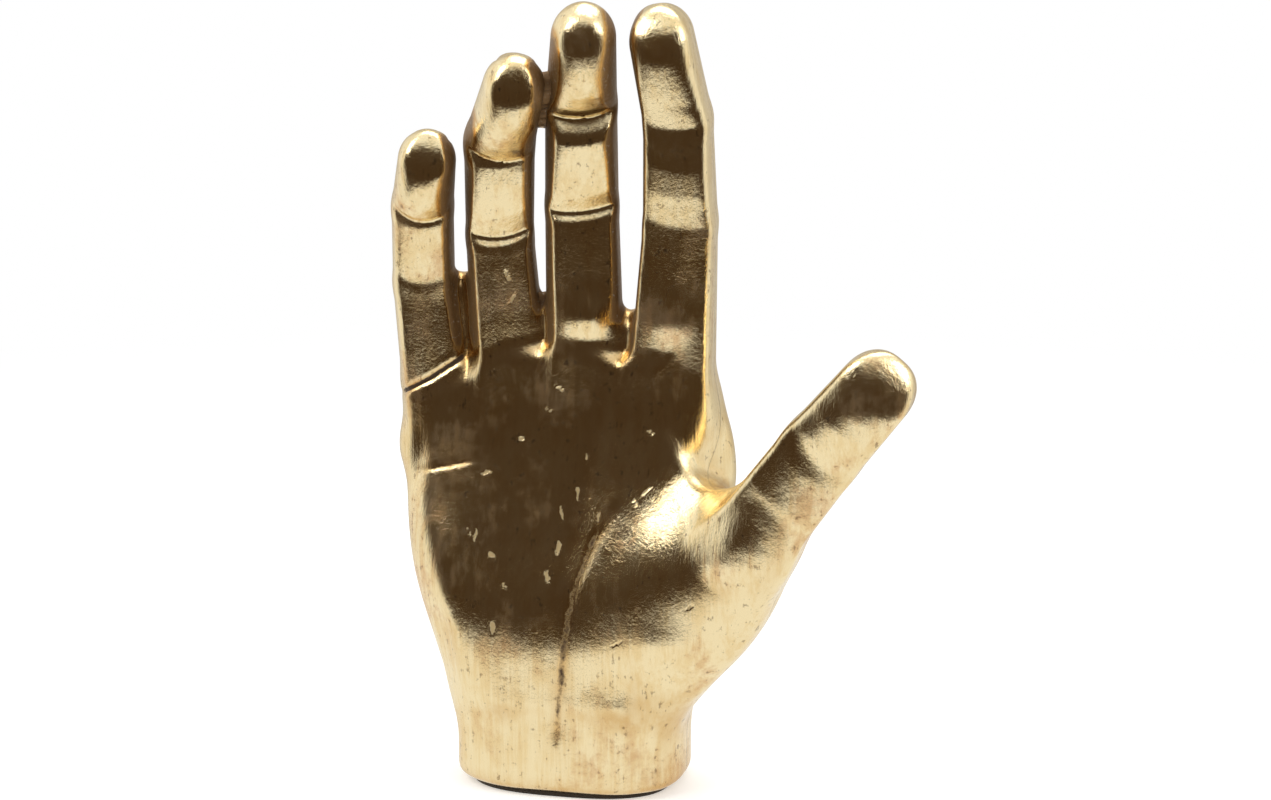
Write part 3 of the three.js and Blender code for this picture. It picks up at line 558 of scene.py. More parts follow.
    def line_share(self, points, line, wide):
        """1 on a line seen from the front, less beside it and towards its ends."""
        corners = np.array(line, float)
        steps = np.diff(corners, axis=0)
        lengths = np.hypot(*steps.T)
        near, done = np.full(len(points), 1e9), np.zeros(len(points))
        for corner, step, size, before in zip(corners, steps, lengths, np.cumsum(lengths) - lengths):
            off = points[:, [0, 2]] - corner
            t = np.clip(off @ step / size ** 2, 0, 1)
            reach = np.hypot(*(off - t[:, None] * step).T)
            done = np.where(reach < near, before + t * size, done)
            near = np.minimum(near, reach)
        done /= lengths.sum()
        return np.exp(-(near / wide) ** 2) * np.clip(np.minimum(done, 1 - done) / 0.2, 0, 1)

    def facing(self, points):
        """Above 0 in front of the parting surface, where a form fades in, and below 0 behind it."""
        return (self.seam_depth(points[:, 0], points[:, 2]) - points[:, 1]) / SEAM_FADE

    def in_front(self, points):
        return np.clip(self.facing(points), 0, 1)

    def pressed(self, points):
        """How deep the lines of the palm are."""
        deep = np.zeros(len(points))
        for line, depth, wide, _ in PRESSED:
            deep = np.maximum(deep, depth * self.line_share(points, line, wide))
        return deep

    def chipped(self, points):
        """Where flakes of leaf have gone from the palm."""
        bare = np.zeros(len(points))
        for x, z, long, wide, lean in CHIPS:
            turn = math.radians(lean)
            across, up = points[:, 0] - x, points[:, 2] - z
            u = up * math.cos(turn) - across * math.sin(turn)
            v = across * math.cos(turn) + up * math.sin(turn)
            bare = np.maximum(bare, np.exp(-(2 * u / long) ** 4 - (2 * v / wide) ** 4))
        return bare * self.in_front(points)

    def stained_and_shaded(self, points):
        """Where lacquer lies in the lines of the palm, and where shade is painted into their creases."""
        deep = np.zeros(len(points))
        for line, _, wide, stain_and_shade in PRESSED:
            deep = np.maximum(deep, stain_and_shade * self.line_share(points, line, wide * 0.7 + 0.6))
        return deep * self.in_front(points)

    def hollow(self, points):
        """The hollow, one wall inside the palm."""
        return np.maximum(self.palm_distance(points) + self.wall, points[:, 2] - self.hollow_top)

    def seam_depth(self, x, z):
        """The parting surface, which follows the depth of the bones."""
        total, weights = np.zeros_like(x), np.zeros_like(x)
        for bone in self.seam_bones:
            dx, dz = bone.end[0] - bone.start[0], bone.end[2] - bone.start[2]
            along = (x - bone.start[0]) * dx + (z - bone.start[2]) * dz
            held = np.clip(along / (dx * dx + dz * dz), 0, 1)
            px, pz = x - bone.start[0] - dx * held, z - bone.start[2] - dz * held
            weight = 1 / (px * px + pz * pz + SEAM_SPREAD ** 2) ** 2
            total += weight * (bone.start[1] + (bone.end[1] - bone.start[1]) * held)
            weights += weight
        return total / weights


# Modelling

# The probe that finds a distance's slope, in millimetres.
PROBE = 0.15
# Corners of the wrist's outline, of the keys and of other round forms.
OUTLINE_CORNERS = 144
KEY_CORNERS = 32
ROUND_CORNERS = 64
# How far a cutter runs past what it cuts, and where those from below start, in millimetres.
OVERSHOOT = 2
BELOW = -8
# The part of the parting surface that the blocks are cut to, in millimetres, and their thickness.
SEAM_LOW, SEAM_HIGH = (-120.0, -20.0), (200.0, 400.0)
SEAM_GRID = (107, 141)
BLOCK_DEPTH = 0.25
# Keys across the seam: radius, reach to the front and reach to the back, and their sockets.
KEY = (2.5, 5, 5)
SOCKET = (2.8, 5.6, 5)
KEY_INSET, KEY_HEIGHT = 6, 27.0


def deselect():
    if bpy.context.object and bpy.context.object.mode != "OBJECT":
        bpy.ops.object.mode_set(mode="OBJECT")
    bpy.ops.object.select_all(action="DESELECT")


def select(*pieces):
    deselect()
    for piece in pieces:
        piece.select_set(True)
    bpy.context.view_layer.objects.active = pieces[-1]
    return pieces[-1]


def fix(name):
    """Gives the new object its name and puts its place into its mesh."""
    piece = select(bpy.context.object)
    bpy.ops.object.transform_apply(location=True, rotation=True, scale=True)
    piece.name = piece.data.name = name
    return piece


def modify(piece, kind, **settings):
    select(piece)
    modifier = piece.modifiers.new(kind.title(), kind)
    for key, value in settings.items():
        setattr(modifier, key, value)
    bpy.ops.object.modifier_apply(modifier=modifier.name)
    return piece


def cut(piece, tool, operation="DIFFERENCE"):
    modify(piece, "BOOLEAN", operation=operation, object=tool, solver="MANIFOLD")
    bpy.data.objects.remove(tool)
    if not len(piece.data.polygons):
        raise RuntimeError(f"the cut left nothing of {piece.name}")
    return piece


def edit(piece, *steps):
    """Runs edit-mode operators on all of a piece."""
    select(piece)
    bpy.ops.object.mode_set(mode="EDIT")
    bpy.ops.mesh.select_all(action="SELECT")
    for step in steps:
        step()
    bpy.ops.object.mode_set(mode="OBJECT")
    return piece


def drawn_out(piece, step):
    """Gives a flat piece its thickness, with its faces outwards."""
    return edit(
        piece,
        lambda: bpy.ops.mesh.extrude_region_move(TRANSFORM_OT_translate={"value": step}),
        lambda: bpy.ops.mesh.select_all(action="SELECT"),
        lambda: bpy.ops.mesh.normals_make_consistent(inside=False))


def remesh(piece, cell):
    return modify(piece, "REMESH", mode="VOXEL", voxel_size=cell, adaptivity=0.0)


def ease(piece, width, segments):
    """Rounds the edges of a piece by a width in metres."""
    return modify(piece, "BEVEL", width=width, segments=segments, limit_method="ANGLE")


def cylinder(name, centre, radius, height, corners, **turned):
    """A plain cylinder at a centre in millimetres."""
    deselect()
    bpy.ops.mesh.primitive_cylinder_add(
        vertices=corners, radius=radius / MM, depth=height / MM, location=Vector(centre) / MM, **turned)
    return fix(name)


def points_of(piece):
    flat = np.empty(len(piece.data.vertices) * 3, np.float32)
    piece.data.vertices.foreach_get("co", flat)
    return flat.reshape(-1, 3).astype(float) * MM


def move_points(piece, points):
    piece.data.vertices.foreach_set("co", (points / MM).astype(np.float32).ravel())
    piece.data.update()


def slope(distance, points):
    """Distance and slope at points, from four tries round each."""
    corners = np.array(((1, 1, 1), (1, -1, -1), (-1, 1, -1), (-1, -1, 1)), float)
    tries = [distance(points + c * PROBE) for c in corners]
    rise = sum(t[:, None] * c for t, c in zip(tries, corners)) / (4 * PROBE)
    return sum(tries) / 4, rise


def drape(piece, distance, rounds, limit):
    """Moves a piece's points onto the surface where a distance is 0."""
    points = points_of(piece)
    for _ in range(rounds):
        value, rise = slope(distance, points)
        steep = (rise ** 2).sum(1)
        step = np.clip(-value / np.maximum(steep, 0.2), -limit, limit)
        points = points + rise * step[:, None]
    move_points(piece, points)
    return piece


def lump(start, end, start_radius, end_radius):
    """Two balls drawn into one form."""
    balls = []
    for place, radius in ((start, start_radius), (end, end_radius)):
        deselect()
        bpy.ops.mesh.primitive_ico_sphere_add(
            subdivisions=3, radius=radius / MM, location=Vector(place) / MM)
        balls.append(fix("ball"))
    return edit(joined("lump", balls), lambda: bpy.ops.mesh.convex_hull(join_triangles=False))


def joined(name, pieces):
    piece = select(*pieces)
    bpy.ops.object.join()
    piece.name = piece.data.name = name
    return piece


def oval(name, half_x, half_y, low, high):
    """A slab of the wrist's outline."""
    deselect()
    bpy.ops.mesh.primitive_circle_add(vertices=OUTLINE_CORNERS, radius=1, fill_type="NGON")
    piece = fix(name)
    points = points_of(piece) / MM
    power = 2 / WRIST_SQUARENESS
    points[:, 0] = half_x * np.sign(points[:, 0]) * np.abs(points[:, 0]) ** power
    points[:, 1] = half_y * np.sign(points[:, 1]) * np.abs(points[:, 1]) ** power
    points[:, 2] = low
    move_points(piece, points)
    return drawn_out(piece, (0, 0, (high - low) / MM))


def wrist_slab(name, node):
    """A slab of the wrist's outline that fills a node's box, with the heights of its two faces."""
    low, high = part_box(node)
    bottom, top = low.z * MM, high.z * MM
    return oval(name, high.x * MM, high.y * MM, bottom, top), bottom, top


def seam_block(hand, shift, depth):
    """A block that ends in the parting surface, shifted back or forth."""
    deselect()
    bpy.ops.mesh.primitive_grid_add(x_subdivisions=SEAM_GRID[0], y_subdivisions=SEAM_GRID[1], size=2)
    piece = fix("seam_block")
    points = points_of(piece) / MM
    x, z = (SEAM_LOW[i] + (points[:, i] + 1) / 2 * (SEAM_HIGH[i] - SEAM_LOW[i]) for i in (0, 1))
    move_points(piece, np.stack((x, hand.seam_depth(x, z) + shift, z), 1))
    return drawn_out(piece, (0, depth, 0))


def pins(name, hand, radius, front, back):
    """Keys across the seam, one in each digit's root and one in each side of the wrist."""
    places = [tuple((d["limbs"][0].start + d["limbs"][0].end)[[0, 2]] / 2)
              for d in hand.digits.values()]
    places += [(side * (hand.half_x - KEY_INSET), KEY_HEIGHT) for side in (-1, 1)]
    made = []
    for x, z in places:
        y = float(hand.seam_depth(np.array([x]), np.array([z]))[0])
        made.append(cylinder("key", (x, y + (back - front) / 2, z), radius, front + back,
                             KEY_CORNERS, rotation=(math.pi / 2, 0, 0)))
    return joined(name, made)


def vent_core(sizes, low, high, spare):
    """A round core through the vent, wider than it by what is spare."""
    x = VENT_EDGE + (sizes.wrist_wall - sizes.wrist_width / 2) * MM
    low, high = low - OVERSHOOT, high + OVERSHOOT
    return cylinder("vent_core", (x, 0, (high + low) / 2), VENT_RADIUS + spare, high - low, ROUND_CORNERS)


def finish_piece(piece, material, slot, *nodes, angle):
    dress(piece, material)
    select(piece)
    bpy.ops.object.shade_smooth_by_angle(angle=math.radians(angle))
    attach(piece, "root")
    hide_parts(*nodes)


def dress(piece, material):
    piece.data.materials.clear()
    piece.data.materials.append(material)


def paint(piece, name, values):
    """Keeps a number at each point of a piece for its material."""
    layer = piece.data.attributes.new(name, "FLOAT", "POINT")
    layer.data.foreach_set("value", np.asarray(values, np.float32))


# Materials

def sums(operation, turned=False):
    """An operator that adds a Math node, with its two sides turned round for a reflected one."""
    def method(wire, other):
        sides = (other, wire) if turned else (wire, other)
        return wire.finish.node("Math", {"operation": operation}, dict(enumerate(sides)))
    return method


class Wire:
    """A socket that sums can be written with."""

    def __init__(self, finish, socket):
        self.finish, self.socket = finish, socket

    __add__, __radd__ = sums("ADD"), sums("ADD", True)
    __sub__, __rsub__ = sums("SUBTRACT"), sums("SUBTRACT", True)
    __mul__, __rmul__ = sums("MULTIPLY"), sums("MULTIPLY", True)
    __truediv__, __rtruediv__ = sums("DIVIDE"), sums("DIVIDE", True)
    __pow__, __rpow__ = sums("POWER"), sums("POWER", True)
    high = sums("MAXIMUM")

    def between(self, start, end):
        """0 below start, 1 above end and smooth between them."""
        return self.finish.node("MapRange", {"interpolation_type": "SMOOTHSTEP"},
                                {"Value": self, "From Min": start, "From Max": end})


class Finish:
    """The node tree of a material or of the world."""

    def __init__(self, owner):
        owner.use_nodes = True
        self.owner, self.tree = owner, owner.node_tree
        self.tree.nodes.clear()

    def node(self, kind, settings=None, inputs=None, output=0):
        made = self.tree.nodes.new("ShaderNode" + kind)
        for key, value in (settings or {}).items():
            setattr(made, key, value)
        for key, value in (inputs or {}).items():
            socket = made.inputs[key]
            if isinstance(value, Wire):
                self.tree.links.new(value.socket, socket)
            elif socket.type == "RGBA":
                socket.default_value = (*value, 1.0)
            else:
                socket.default_value = value
        return Wire(self, made.outputs[output]) if len(made.outputs) else None

    def mix(self, factor, first, second):
        return self.node("Mix", {"data_type": "RGBA"}, {0: factor, 6: first, 7: second}, output=2)

    def blend(self, factor, first, second):
        """The first shader where the factor is 0 and the second where it is 1."""
        return self.node("MixShader", {}, {0: factor, 1: first, 2: second})

    def glow(self, tone, strength=1.0):
        return self.node("Emission", {}, {"Color": tone, "Strength": strength})

    def scaled(self, vector, x, y, z):
        return self.node("Mapping", {}, {"Vector": vector, "Scale": (x, y, z)})

    def noise(self, vector, scale, detail=2.0, rough=0.5, twist=0.0):
        return self.node("TexNoise", {}, {"Vector": vector, "Scale": scale, "Detail": detail,
                                          "Roughness": rough, "Distortion": twist})

    def places(self):
        """Object coordinates."""
        return self.node("TexCoord", output=3)

    def parts(self, vector):
        """The x, y and z of a vector."""
        node = self.node("SeparateXYZ", {}, {"Vector": vector}).socket.node
        return [Wire(self, socket) for socket in node.outputs]

    def ray(self, kind):
        """1 for rays of a kind and 0 for others."""
        return Wire(self, self.node("LightPath").socket.node.outputs[f"Is {kind} Ray"])

    def attribute(self, name):
        return self.node("Attribute", {"attribute_name": name}, output=2)

    def bump(self, height, distance):
        return self.node("Bump", {}, {"Height": height, "Distance": distance, "Strength": 1.0})

    def surface(self, **inputs):
        """Ends a material in its shader."""
        shader = self.node("BsdfPrincipled", {}, {k.replace("_", " "): v for k, v in inputs.items()})
        self.node("OutputMaterial", {}, {"Surface": shader})
        return self.owner


def new_finish(name):
    """The node tree of a new material, and Object coordinates in it."""
    f = Finish(bpy.data.materials.new(name))
    return f, f.places()


def darker(tone, by):
    return tuple(c * by for c in tone)


BRUSHED_GOLD = (0.82, 0.61, 0.29)
RUSSET = (0.62, 0.32, 0.13)
# Dark brown painted as shade on the fingers' sides that face the next finger.
GAP_SHADE_BROWN = (0.17, 0.095, 0.04)
BARE_GROUND = (0.50, 0.37, 0.18)
CEMENT_PIT = (0.12, 0.11, 0.10)
PALE_FIBRE = (0.30, 0.19, 0.10)
RUBBER_BLOOM = (0.045, 0.043, 0.040)


def gold_leaf(finish):
    """Leaf over a brown ground: brushed and chipped, with painted shade and some lacquer in its folds and
    lines, painted shade between the fingers and a painted shadow at its bottom rim.
    """
    f, at = new_finish("gold_leaf")
    fold, hollow, seam, flank, stain_and_shade, chip = (
        f.attribute(name) for name in ("fold", "hollow", "seam", "flank", "stain_and_shade", "chip"))
    height = f.parts(at)[2]
    streaks = f.noise(f.scaled(at, 1.0, 1.0, 0.045), 900.0, 3.0, 0.6)
    broad_streaks = f.noise(f.scaled(at, 1.0, 1.0, 0.08), 220.0, 4.0, 0.6)
    crinkle = f.noise(at, 700.0, 5.0, 0.62, 0.6)
    mottle = f.noise(at, 55.0, 4.0, 0.6)
    clouds = f.noise(at, 26.0, 3.0, 0.55)
    # Noise that breaks up both the wear and the painted shade.
    wear_and_shade = f.noise(at, 240.0, 5.0, 0.7)
    # Amber where folds and hollows close in: some lacquer, and painted shade of gold reflecting gold.
    fold_lacquer_and_shade = (fold * 1.4 + hollow * 0.3 + (mottle - 0.5) * 0.5).between(0.16, 0.95)
    # Brown bole where the leaf is worn off at random, and painted as dark shade deep in folds, hollows and
    # palm lines.
    lost_leaf_and_shade = (fold * 1.1 + hollow * 0.45 + stain_and_shade * 0.85 + (wear_and_shade - 0.5) * 0.9).between(0.72, 1.05)
    # Painted shade: amber at the edges of the fingers' sides that face the next finger.
    gap_edge_shade = (flank + (mottle - 0.5) * 0.25).between(0.04, 0.3)
    # Painted shade: dark brown film, flecked with pale dust, on the fingers' sides that face the next
    # finger; it also dulls and roughens the leaf there.
    finger_gap_shade = (flank + (wear_and_shade - 0.5) * 0.35 + (mottle - 0.5) * 0.3).between(0.25, 0.6)
    flecks = (wear_and_shade + (streaks - 0.5) * 0.4).between(0.60, 0.70) * 0.5
    # Painted contact shadow: amber over the lowest 12 mm of the casting, strongest at the bottom and broken
    # up by noise.
    base_shadow = (1.0 - height.between(0.001, 0.012)) * (0.35 + (wear_and_shade - 0.35) * 2.0)
    brushed = (mottle + (broad_streaks - 0.5) * 1.1 + (streaks - 0.5) * 0.5).between(0.32, 0.72)
    worn = (clouds + (broad_streaks - 0.5) * 0.45 + (wear_and_shade - 0.5) * 0.5).between(0.52, 0.78)
    bare = (chip + (wear_and_shade - 0.5) * 2.2 + (crinkle - 0.5) * 1.2).between(0.35, 0.75)
    bare = bare * chip.between(0.02, 0.3)
    film = (crinkle + (wear_and_shade - 0.5) * 0.4).between(0.60, 0.70) * 0.6
    tone = f.mix(brushed * 0.6, finish.leaf, BRUSHED_GOLD)
    tone = f.mix(worn * 0.5, tone, RUSSET)
    # Amber: painted shade in folds, between the fingers and along the bottom rim, and lacquer with painted
    # shade in the palm lines.
    tone = f.mix(fold_lacquer_and_shade.high(gap_edge_shade).high(stain_and_shade * 0.8).high(base_shadow * 0.6), tone, finish.amber)
    # Bole: worn-off leaf, dark seams and flecks, and painted shade deep in folds and lines.
    tone = f.mix(lost_leaf_and_shade.high(flecks).high(seam * 0.35), tone, finish.bole)
    # Painted shade between the fingers, flecked with dust.
    tone = f.mix(finger_gap_shade * 0.9, tone, f.mix(film, GAP_SHADE_BROWN, finish.dust))
    tone = f.mix(bare, tone, BARE_GROUND)
    rough = finish.leaf_roughness + (streaks - 0.5) * 0.12 + fold_lacquer_and_shade * 0.12 + lost_leaf_and_shade * 0.25
    rough = rough + worn * 0.08 + finger_gap_shade * 0.2 + bare * 0.25
    rise = ((crinkle - 0.5) * (0.6 + (clouds + mottle - 1.0).between(0.0, 0.35) * 0.5 + finger_gap_shade * 1.5)
            + (streaks - 0.5) * 0.7 + (mottle - 0.5) * 1.8 - chip * 1.5)
    dull = (lost_leaf_and_shade * 0.6).high(finger_gap_shade * 0.5).high(bare * 0.7).high(worn * 0.10)
    return f.surface(Base_Color=tone, Metallic=1.0 - dull, Roughness=rough.high(0.08),
                     Normal=f.bump(rise, 0.00016))


def cement(finish):
    f, at = new_finish("cement")
    grain, cloud = f.noise(at, 900.0, 5.0, 0.7), f.noise(at, 60.0, 3.0)
    pits = f.noise(at, 260.0, 1.0).between(0.62, 0.70)
    tone = f.mix(cloud, finish.cement, darker(finish.cement, 0.72))
    return f.surface(Base_Color=f.mix(pits * 0.6, tone, CEMENT_PIT),
                     Roughness=0.85 + (grain - 0.5) * 0.2, Normal=f.bump(grain * 0.4 - pits, 0.0006))


def hardboard(finish):
    f, at = new_finish("hardboard")
    fibres, cloud = f.noise(f.scaled(at, 1.0, 0.25, 1.0), 1300.0, 4.0, 0.7), f.noise(at, 45.0, 3.0)
    tone = f.mix(fibres.between(0.3, 0.7), finish.board, darker(finish.board, 0.6))
    return f.surface(Base_Color=f.mix(cloud * 0.35, tone, PALE_FIBRE),
                     Roughness=0.55 + (fibres - 0.5) * 0.3, Normal=f.bump(fibres, 0.00025))


def rubber(finish):
    f, at = new_finish("bung_rubber")
    grain = f.noise(at, 1500.0, 3.0, 0.6)
    return f.surface(Base_Color=f.mix(f.noise(at, 120.0, 3.0), finish.rubber, RUBBER_BLOOM),
                     Roughness=0.62 + (grain - 0.5) * 0.25, Normal=f.bump(grain, 0.0001))


def felt(finish):
    f, at = new_finish("felt")
    fibres, tufts = f.noise(at, 2600.0, 3.0, 0.8, 1.5), f.noise(at, 500.0, 3.0, 0.6)
    tone = f.mix(fibres.between(0.25, 0.75), darker(finish.felt, 0.6), finish.felt)
    return f.surface(Base_Color=tone, Roughness=0.97, Sheen_Weight=0.35, Sheen_Roughness=0.5,
                     Normal=f.bump(fibres * 0.6 + tufts, 0.0005))


# Operators

class HAND_OT_casting(bpy.types.Operator):
    """Model the two gilded halves of the casting"""
    bl_idname = "hand.casting"
    bl_label = "Casting"

    # The first lumps: their share of the radius on a digit, and between bones and in pads, and how far the
    # wrist reaches into them.
    DIGIT_LUMP, FILLING_LUMP, WRIST_OVERLAP = 0.8, 0.9, 6
    # Rough rounds as shares of the rough cell, and how much coarser a quick skin is.
    FINER, QUICK_CELL = (1.0, 0.6), 2.2
    # Draping: how many rounds, and the furthest a point moves in one.
    ROUGH_DRAPE, FINE_DRAPE, HOLLOW_DRAPE = (4, 2.5), (4, 0.8), (14, 2.0)
    # The hollow: its first radius, its floor over the ballast and its own cell, and how far over the ballast
    # the pocket reaches, so that the two meet.
    HOLLOW_RADIUS, HOLLOW_FLOOR, HOLLOW_CELL, POCKET_TOP = 30, 1.0, 0.004, 3
    # How far the board's seat goes into the wrist's wall.
    SEAT_DEPTH = 3
    # How far out a fold and a hollow are looked for, how near the form a point of the outer surface lies,
    # and how far from the parting line its stain goes.
    FOLD_REACH, HOLLOW_REACH, SKIN_DEPTH, SEAM_WIDTH = 1.6, 7.0, 0.4, 0.5
    # How far across the next finger is looked for. How far sideways a face looks and how high it lies
    # before it counts as a finger's side, each with the length over which that fades in.
    GAPS = (5.0, 9.0, 13.0, 17.0)
    SIDEWAYS, SIDEWAYS_FADE, FINGERS_FROM, FINGERS_FADE = 0.45, 0.4, 195, 15

    def execute(self, context):
        sizes = context.scene.hand_sizes
        hand = Hand(sizes)
        back = self.skin(hand, sizes)
        self.hollow_out(back, hand, sizes)
        select(back)
        bpy.ops.object.duplicate()
        palm = bpy.context.object
        gap = sizes.seam * MM / 2
        cut(palm, seam_block(hand, -gap, BLOCK_DEPTH))
        cut(palm, pins("sockets", hand, *SOCKET))
        cut(back, seam_block(hand, gap, -BLOCK_DEPTH))
        cut(back, pins("keys", hand, *KEY), "UNION")
        material = gold_leaf(context.scene.hand_finish)
        for half, name, node in ((palm, "gilded_palm", "palm_shell"), (back, "gilded_back", "back_shell")):
            half.name = half.data.name = name
            self.wear_and_shade(half, hand)
            finish_piece(half, material, "gold_leaf", node, angle=50)
        return {"FINISHED"}

    def skin(self, hand, sizes):
        """The whole hand: lumps on its bones, remeshed and draped on its form from rough to fine."""
        made = [lump(bone.start, bone.end, *bone.radii) for bone in hand.bones + hand.webs]
        for digit in hand.digits.values():
            made += [lump(bone.start, bone.end, *(self.DIGIT_LUMP * r for r in bone.radii))
                     for bone in digit["limbs"]]
        for one, next_one in zip(hand.bones[:3], hand.bones[1:4]):
            ends = (one.start + next_one.start) / 2, (one.end + next_one.end) / 2
            made.append(lump(*ends, *(self.FILLING_LUMP * r for r in one.radii)))
        for pad in hand.pads:
            small = min(pad.half) * self.FILLING_LUMP
            reach = pad.axes[2] * (pad.half[2] - small)
            made.append(lump(pad.centre - reach, pad.centre + reach, small, small))
        made += [lump(start, end, radius, radius) for start, end, radius in FILLING]
        made.append(oval("wrist", hand.half_x, hand.half_y, STANDING, hand.wrist_top + self.WRIST_OVERLAP))
        body = joined("hand", made)
        for finer in self.FINER:
            drape(remesh(body, sizes.rough_cell * finer), hand.skin, *self.ROUGH_DRAPE)
        cell = sizes.skin_cell * 1.0
        return drape(remesh(body, cell), hand.skin, *self.FINE_DRAPE)

    def hollow_out(self, body, hand, sizes):
        """Leaves out the hollow, the ballast pocket and the seat of the board."""
        board_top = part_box("base_plate")[1].z * MM
        ballast_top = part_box("ballast_block")[1].z * MM
        top, low = hand.hollow_top, ballast_top + self.HOLLOW_FLOOR
        hollow = cylinder("hollow", (0, 0, (top + low) / 2), self.HOLLOW_RADIUS, top - low,
                          ROUND_CORNERS)
        remesh(hollow, self.HOLLOW_CELL)
        cut(body, drape(hollow, lambda p: np.maximum(hand.hollow(p), low - p[:, 2]), *self.HOLLOW_DRAPE))
        wrist_wall = sizes.wrist_wall * MM
        for name, inset, height in (("pocket", wrist_wall, ballast_top + self.POCKET_TOP),
                                    ("seat", wrist_wall - self.SEAT_DEPTH, board_top)):
            cut(body, oval(name, hand.half_x - inset, hand.half_y - inset, BELOW, height))

    def wear_and_shade(self, half, hand):
        """Notes at each point how folded, stained and chipped it is, and how near a seam or finger: the leaf
        paints shade from the folds, the lines and the fingers' sides.
        """
        points = points_of(half)
        value, rise = slope(hand.skin, points)
        out = rise / np.maximum(np.linalg.norm(rise, axis=1), 1e-6)[:, None]
        outside = np.abs(value) < self.SKIN_DEPTH
        off = np.abs(points[:, 1] - hand.seam_depth(points[:, 0], points[:, 2]))
        marks = {
            "fold": self.closed_in(hand, points, out, value, self.FOLD_REACH),
            "hollow": self.closed_in(hand, points, out, value, self.HOLLOW_REACH),
            "stain_and_shade": hand.stained_and_shaded(points),
            "chip": hand.chipped(points),
            "flank": self.flank(hand, points, out),
            "seam": np.clip(1 - off / self.SEAM_WIDTH, 0, 1),
        }
        for name, values in marks.items():
            paint(half, name, np.where(outside, values, 0))

    def closed_in(self, hand, points, out, value, reach):
        """1 where the surface comes back within reach of a point, and 0 where it is open."""
        ahead = hand.skin(points + out * reach)
        return np.clip(1 - (ahead - value) / reach, 0, 1)

    def flank(self, hand, points, out):
        """How much a point lies on a finger's side with the next finger close by, where the leaf paints
        shade.
        """
        sideways = np.zeros_like(points)
        sideways[:, 0] = np.sign(out[:, 0])
        near = np.zeros(len(points))
        for reach in self.GAPS:
            gap = hand.skin(points + sideways * reach)
            near = np.maximum(near, np.clip(1 - gap / (reach * 0.8), 0, 1))
        turned = np.clip((np.abs(out[:, 0]) - self.SIDEWAYS) / self.SIDEWAYS_FADE, 0, 1)
        return near * turned * np.clip((points[:, 2] - self.FINGERS_FROM) / self.FINGERS_FADE, 0, 1)


class HAND_OT_ballast(bpy.types.Operator):
    """Model the cement ballast in the wrist"""
    bl_idname = "hand.ballast"
    bl_label = "Ballast"

    def execute(self, context):
        scene = context.scene
        piece, low, high = wrist_slab("cement_ballast", "ballast_block")
        ease(piece, 0.0012, 3)
        cut(piece, vent_core(scene.hand_sizes, low, high, 0.3))
        finish_piece(piece, cement(scene.hand_finish), "cement", "ballast_block", angle=35)
        return {"FINISHED"}


class HAND_OT_board(bpy.types.Operator):
    """Model the hardboard that closes the wrist"""
    bl_idname = "hand.board"
    bl_label = "Base board"

    def execute(self, context):
        scene = context.scene
        piece, low, high = wrist_slab("base_board", "base_plate")
        ease(piece, 0.0006, 2)
        cut(piece, vent_core(scene.hand_sizes, low, high, 0.0))
        finish_piece(piece, hardboard(scene.hand_finish), "hardboard", "base_plate", angle=35)
        return {"FINISHED"}


class HAND_OT_bung(bpy.types.Operator):
    """Model the rubber bung in the vent"""
    bl_idname = "hand.bung"
    bl_label = "Vent bung"

    def execute(self, context):
        low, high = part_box("vent_bung")
        centre = (low + high) / 2
        flange, height = (high.x - low.x) / 2, high.z - low.z
        # Half of the bung's section, in metres: its flange, its neck and its tapered plug.
        profile = ((0.0, 0.0), (flange - 0.0005, 0.0), (flange, 0.0005), (flange, 0.0010),
                   (flange - 0.0004, 0.0014), (0.0077, 0.0014), (0.0077, 0.0024),
                   (0.0074, 0.0107), (0.0070, height - 0.0004), (0.0062, height), (0.0, height))
        mesh = bpy.data.meshes.new("rubber_bung")
        mesh.from_pydata([(x, 0, z + low.z) for x, z in profile],
                         [(i, i + 1) for i in range(len(profile) - 1)], [])
        piece = bpy.data.objects.new("rubber_bung", mesh)
        context.scene.collection.objects.link(piece)
        piece.location = (centre.x, centre.y, 0)
        edit(
            piece,
            lambda: bpy.ops.mesh.spin(
                steps=ROUND_CORNERS, angle=math.tau, center=(centre.x, centre.y, 0), axis=(0, 0, 1)),
            lambda: bpy.ops.mesh.select_all(action="SELECT"),
            lambda: bpy.ops.mesh.remove_doubles(threshold=1e-6),
            lambda: bpy.ops.mesh.normals_make_consistent(inside=False))
        select(piece)
        fix("rubber_bung")
        finish_piece(piece, rubber(context.scene.hand_finish), "bung_rubber", "vent_bung", angle=30)
        return {"FINISHED"}


class HAND_OT_felt(bpy.types.Operator):
    """Cut and lay the felt under the wrist"""
    bl_idname = "hand.felt"
    bl_label = "Felt"

    def execute(self, context):
        scene = context.scene
        piece, bottom, top = wrist_slab("felt_sole", "felt_sheet")
        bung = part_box("vent_bung")
        hole = (bung[1].x - bung[0].x) / 2 * MM + 0.3
        cut(piece, vent_core(scene.hand_sizes, bottom, top, hole - VENT_RADIUS))
        ease(piece, 0.0005, 3)
        finish_piece(piece, felt(scene.hand_finish), "felt", "felt_sheet", angle=40)
        return {"FINISHED"}


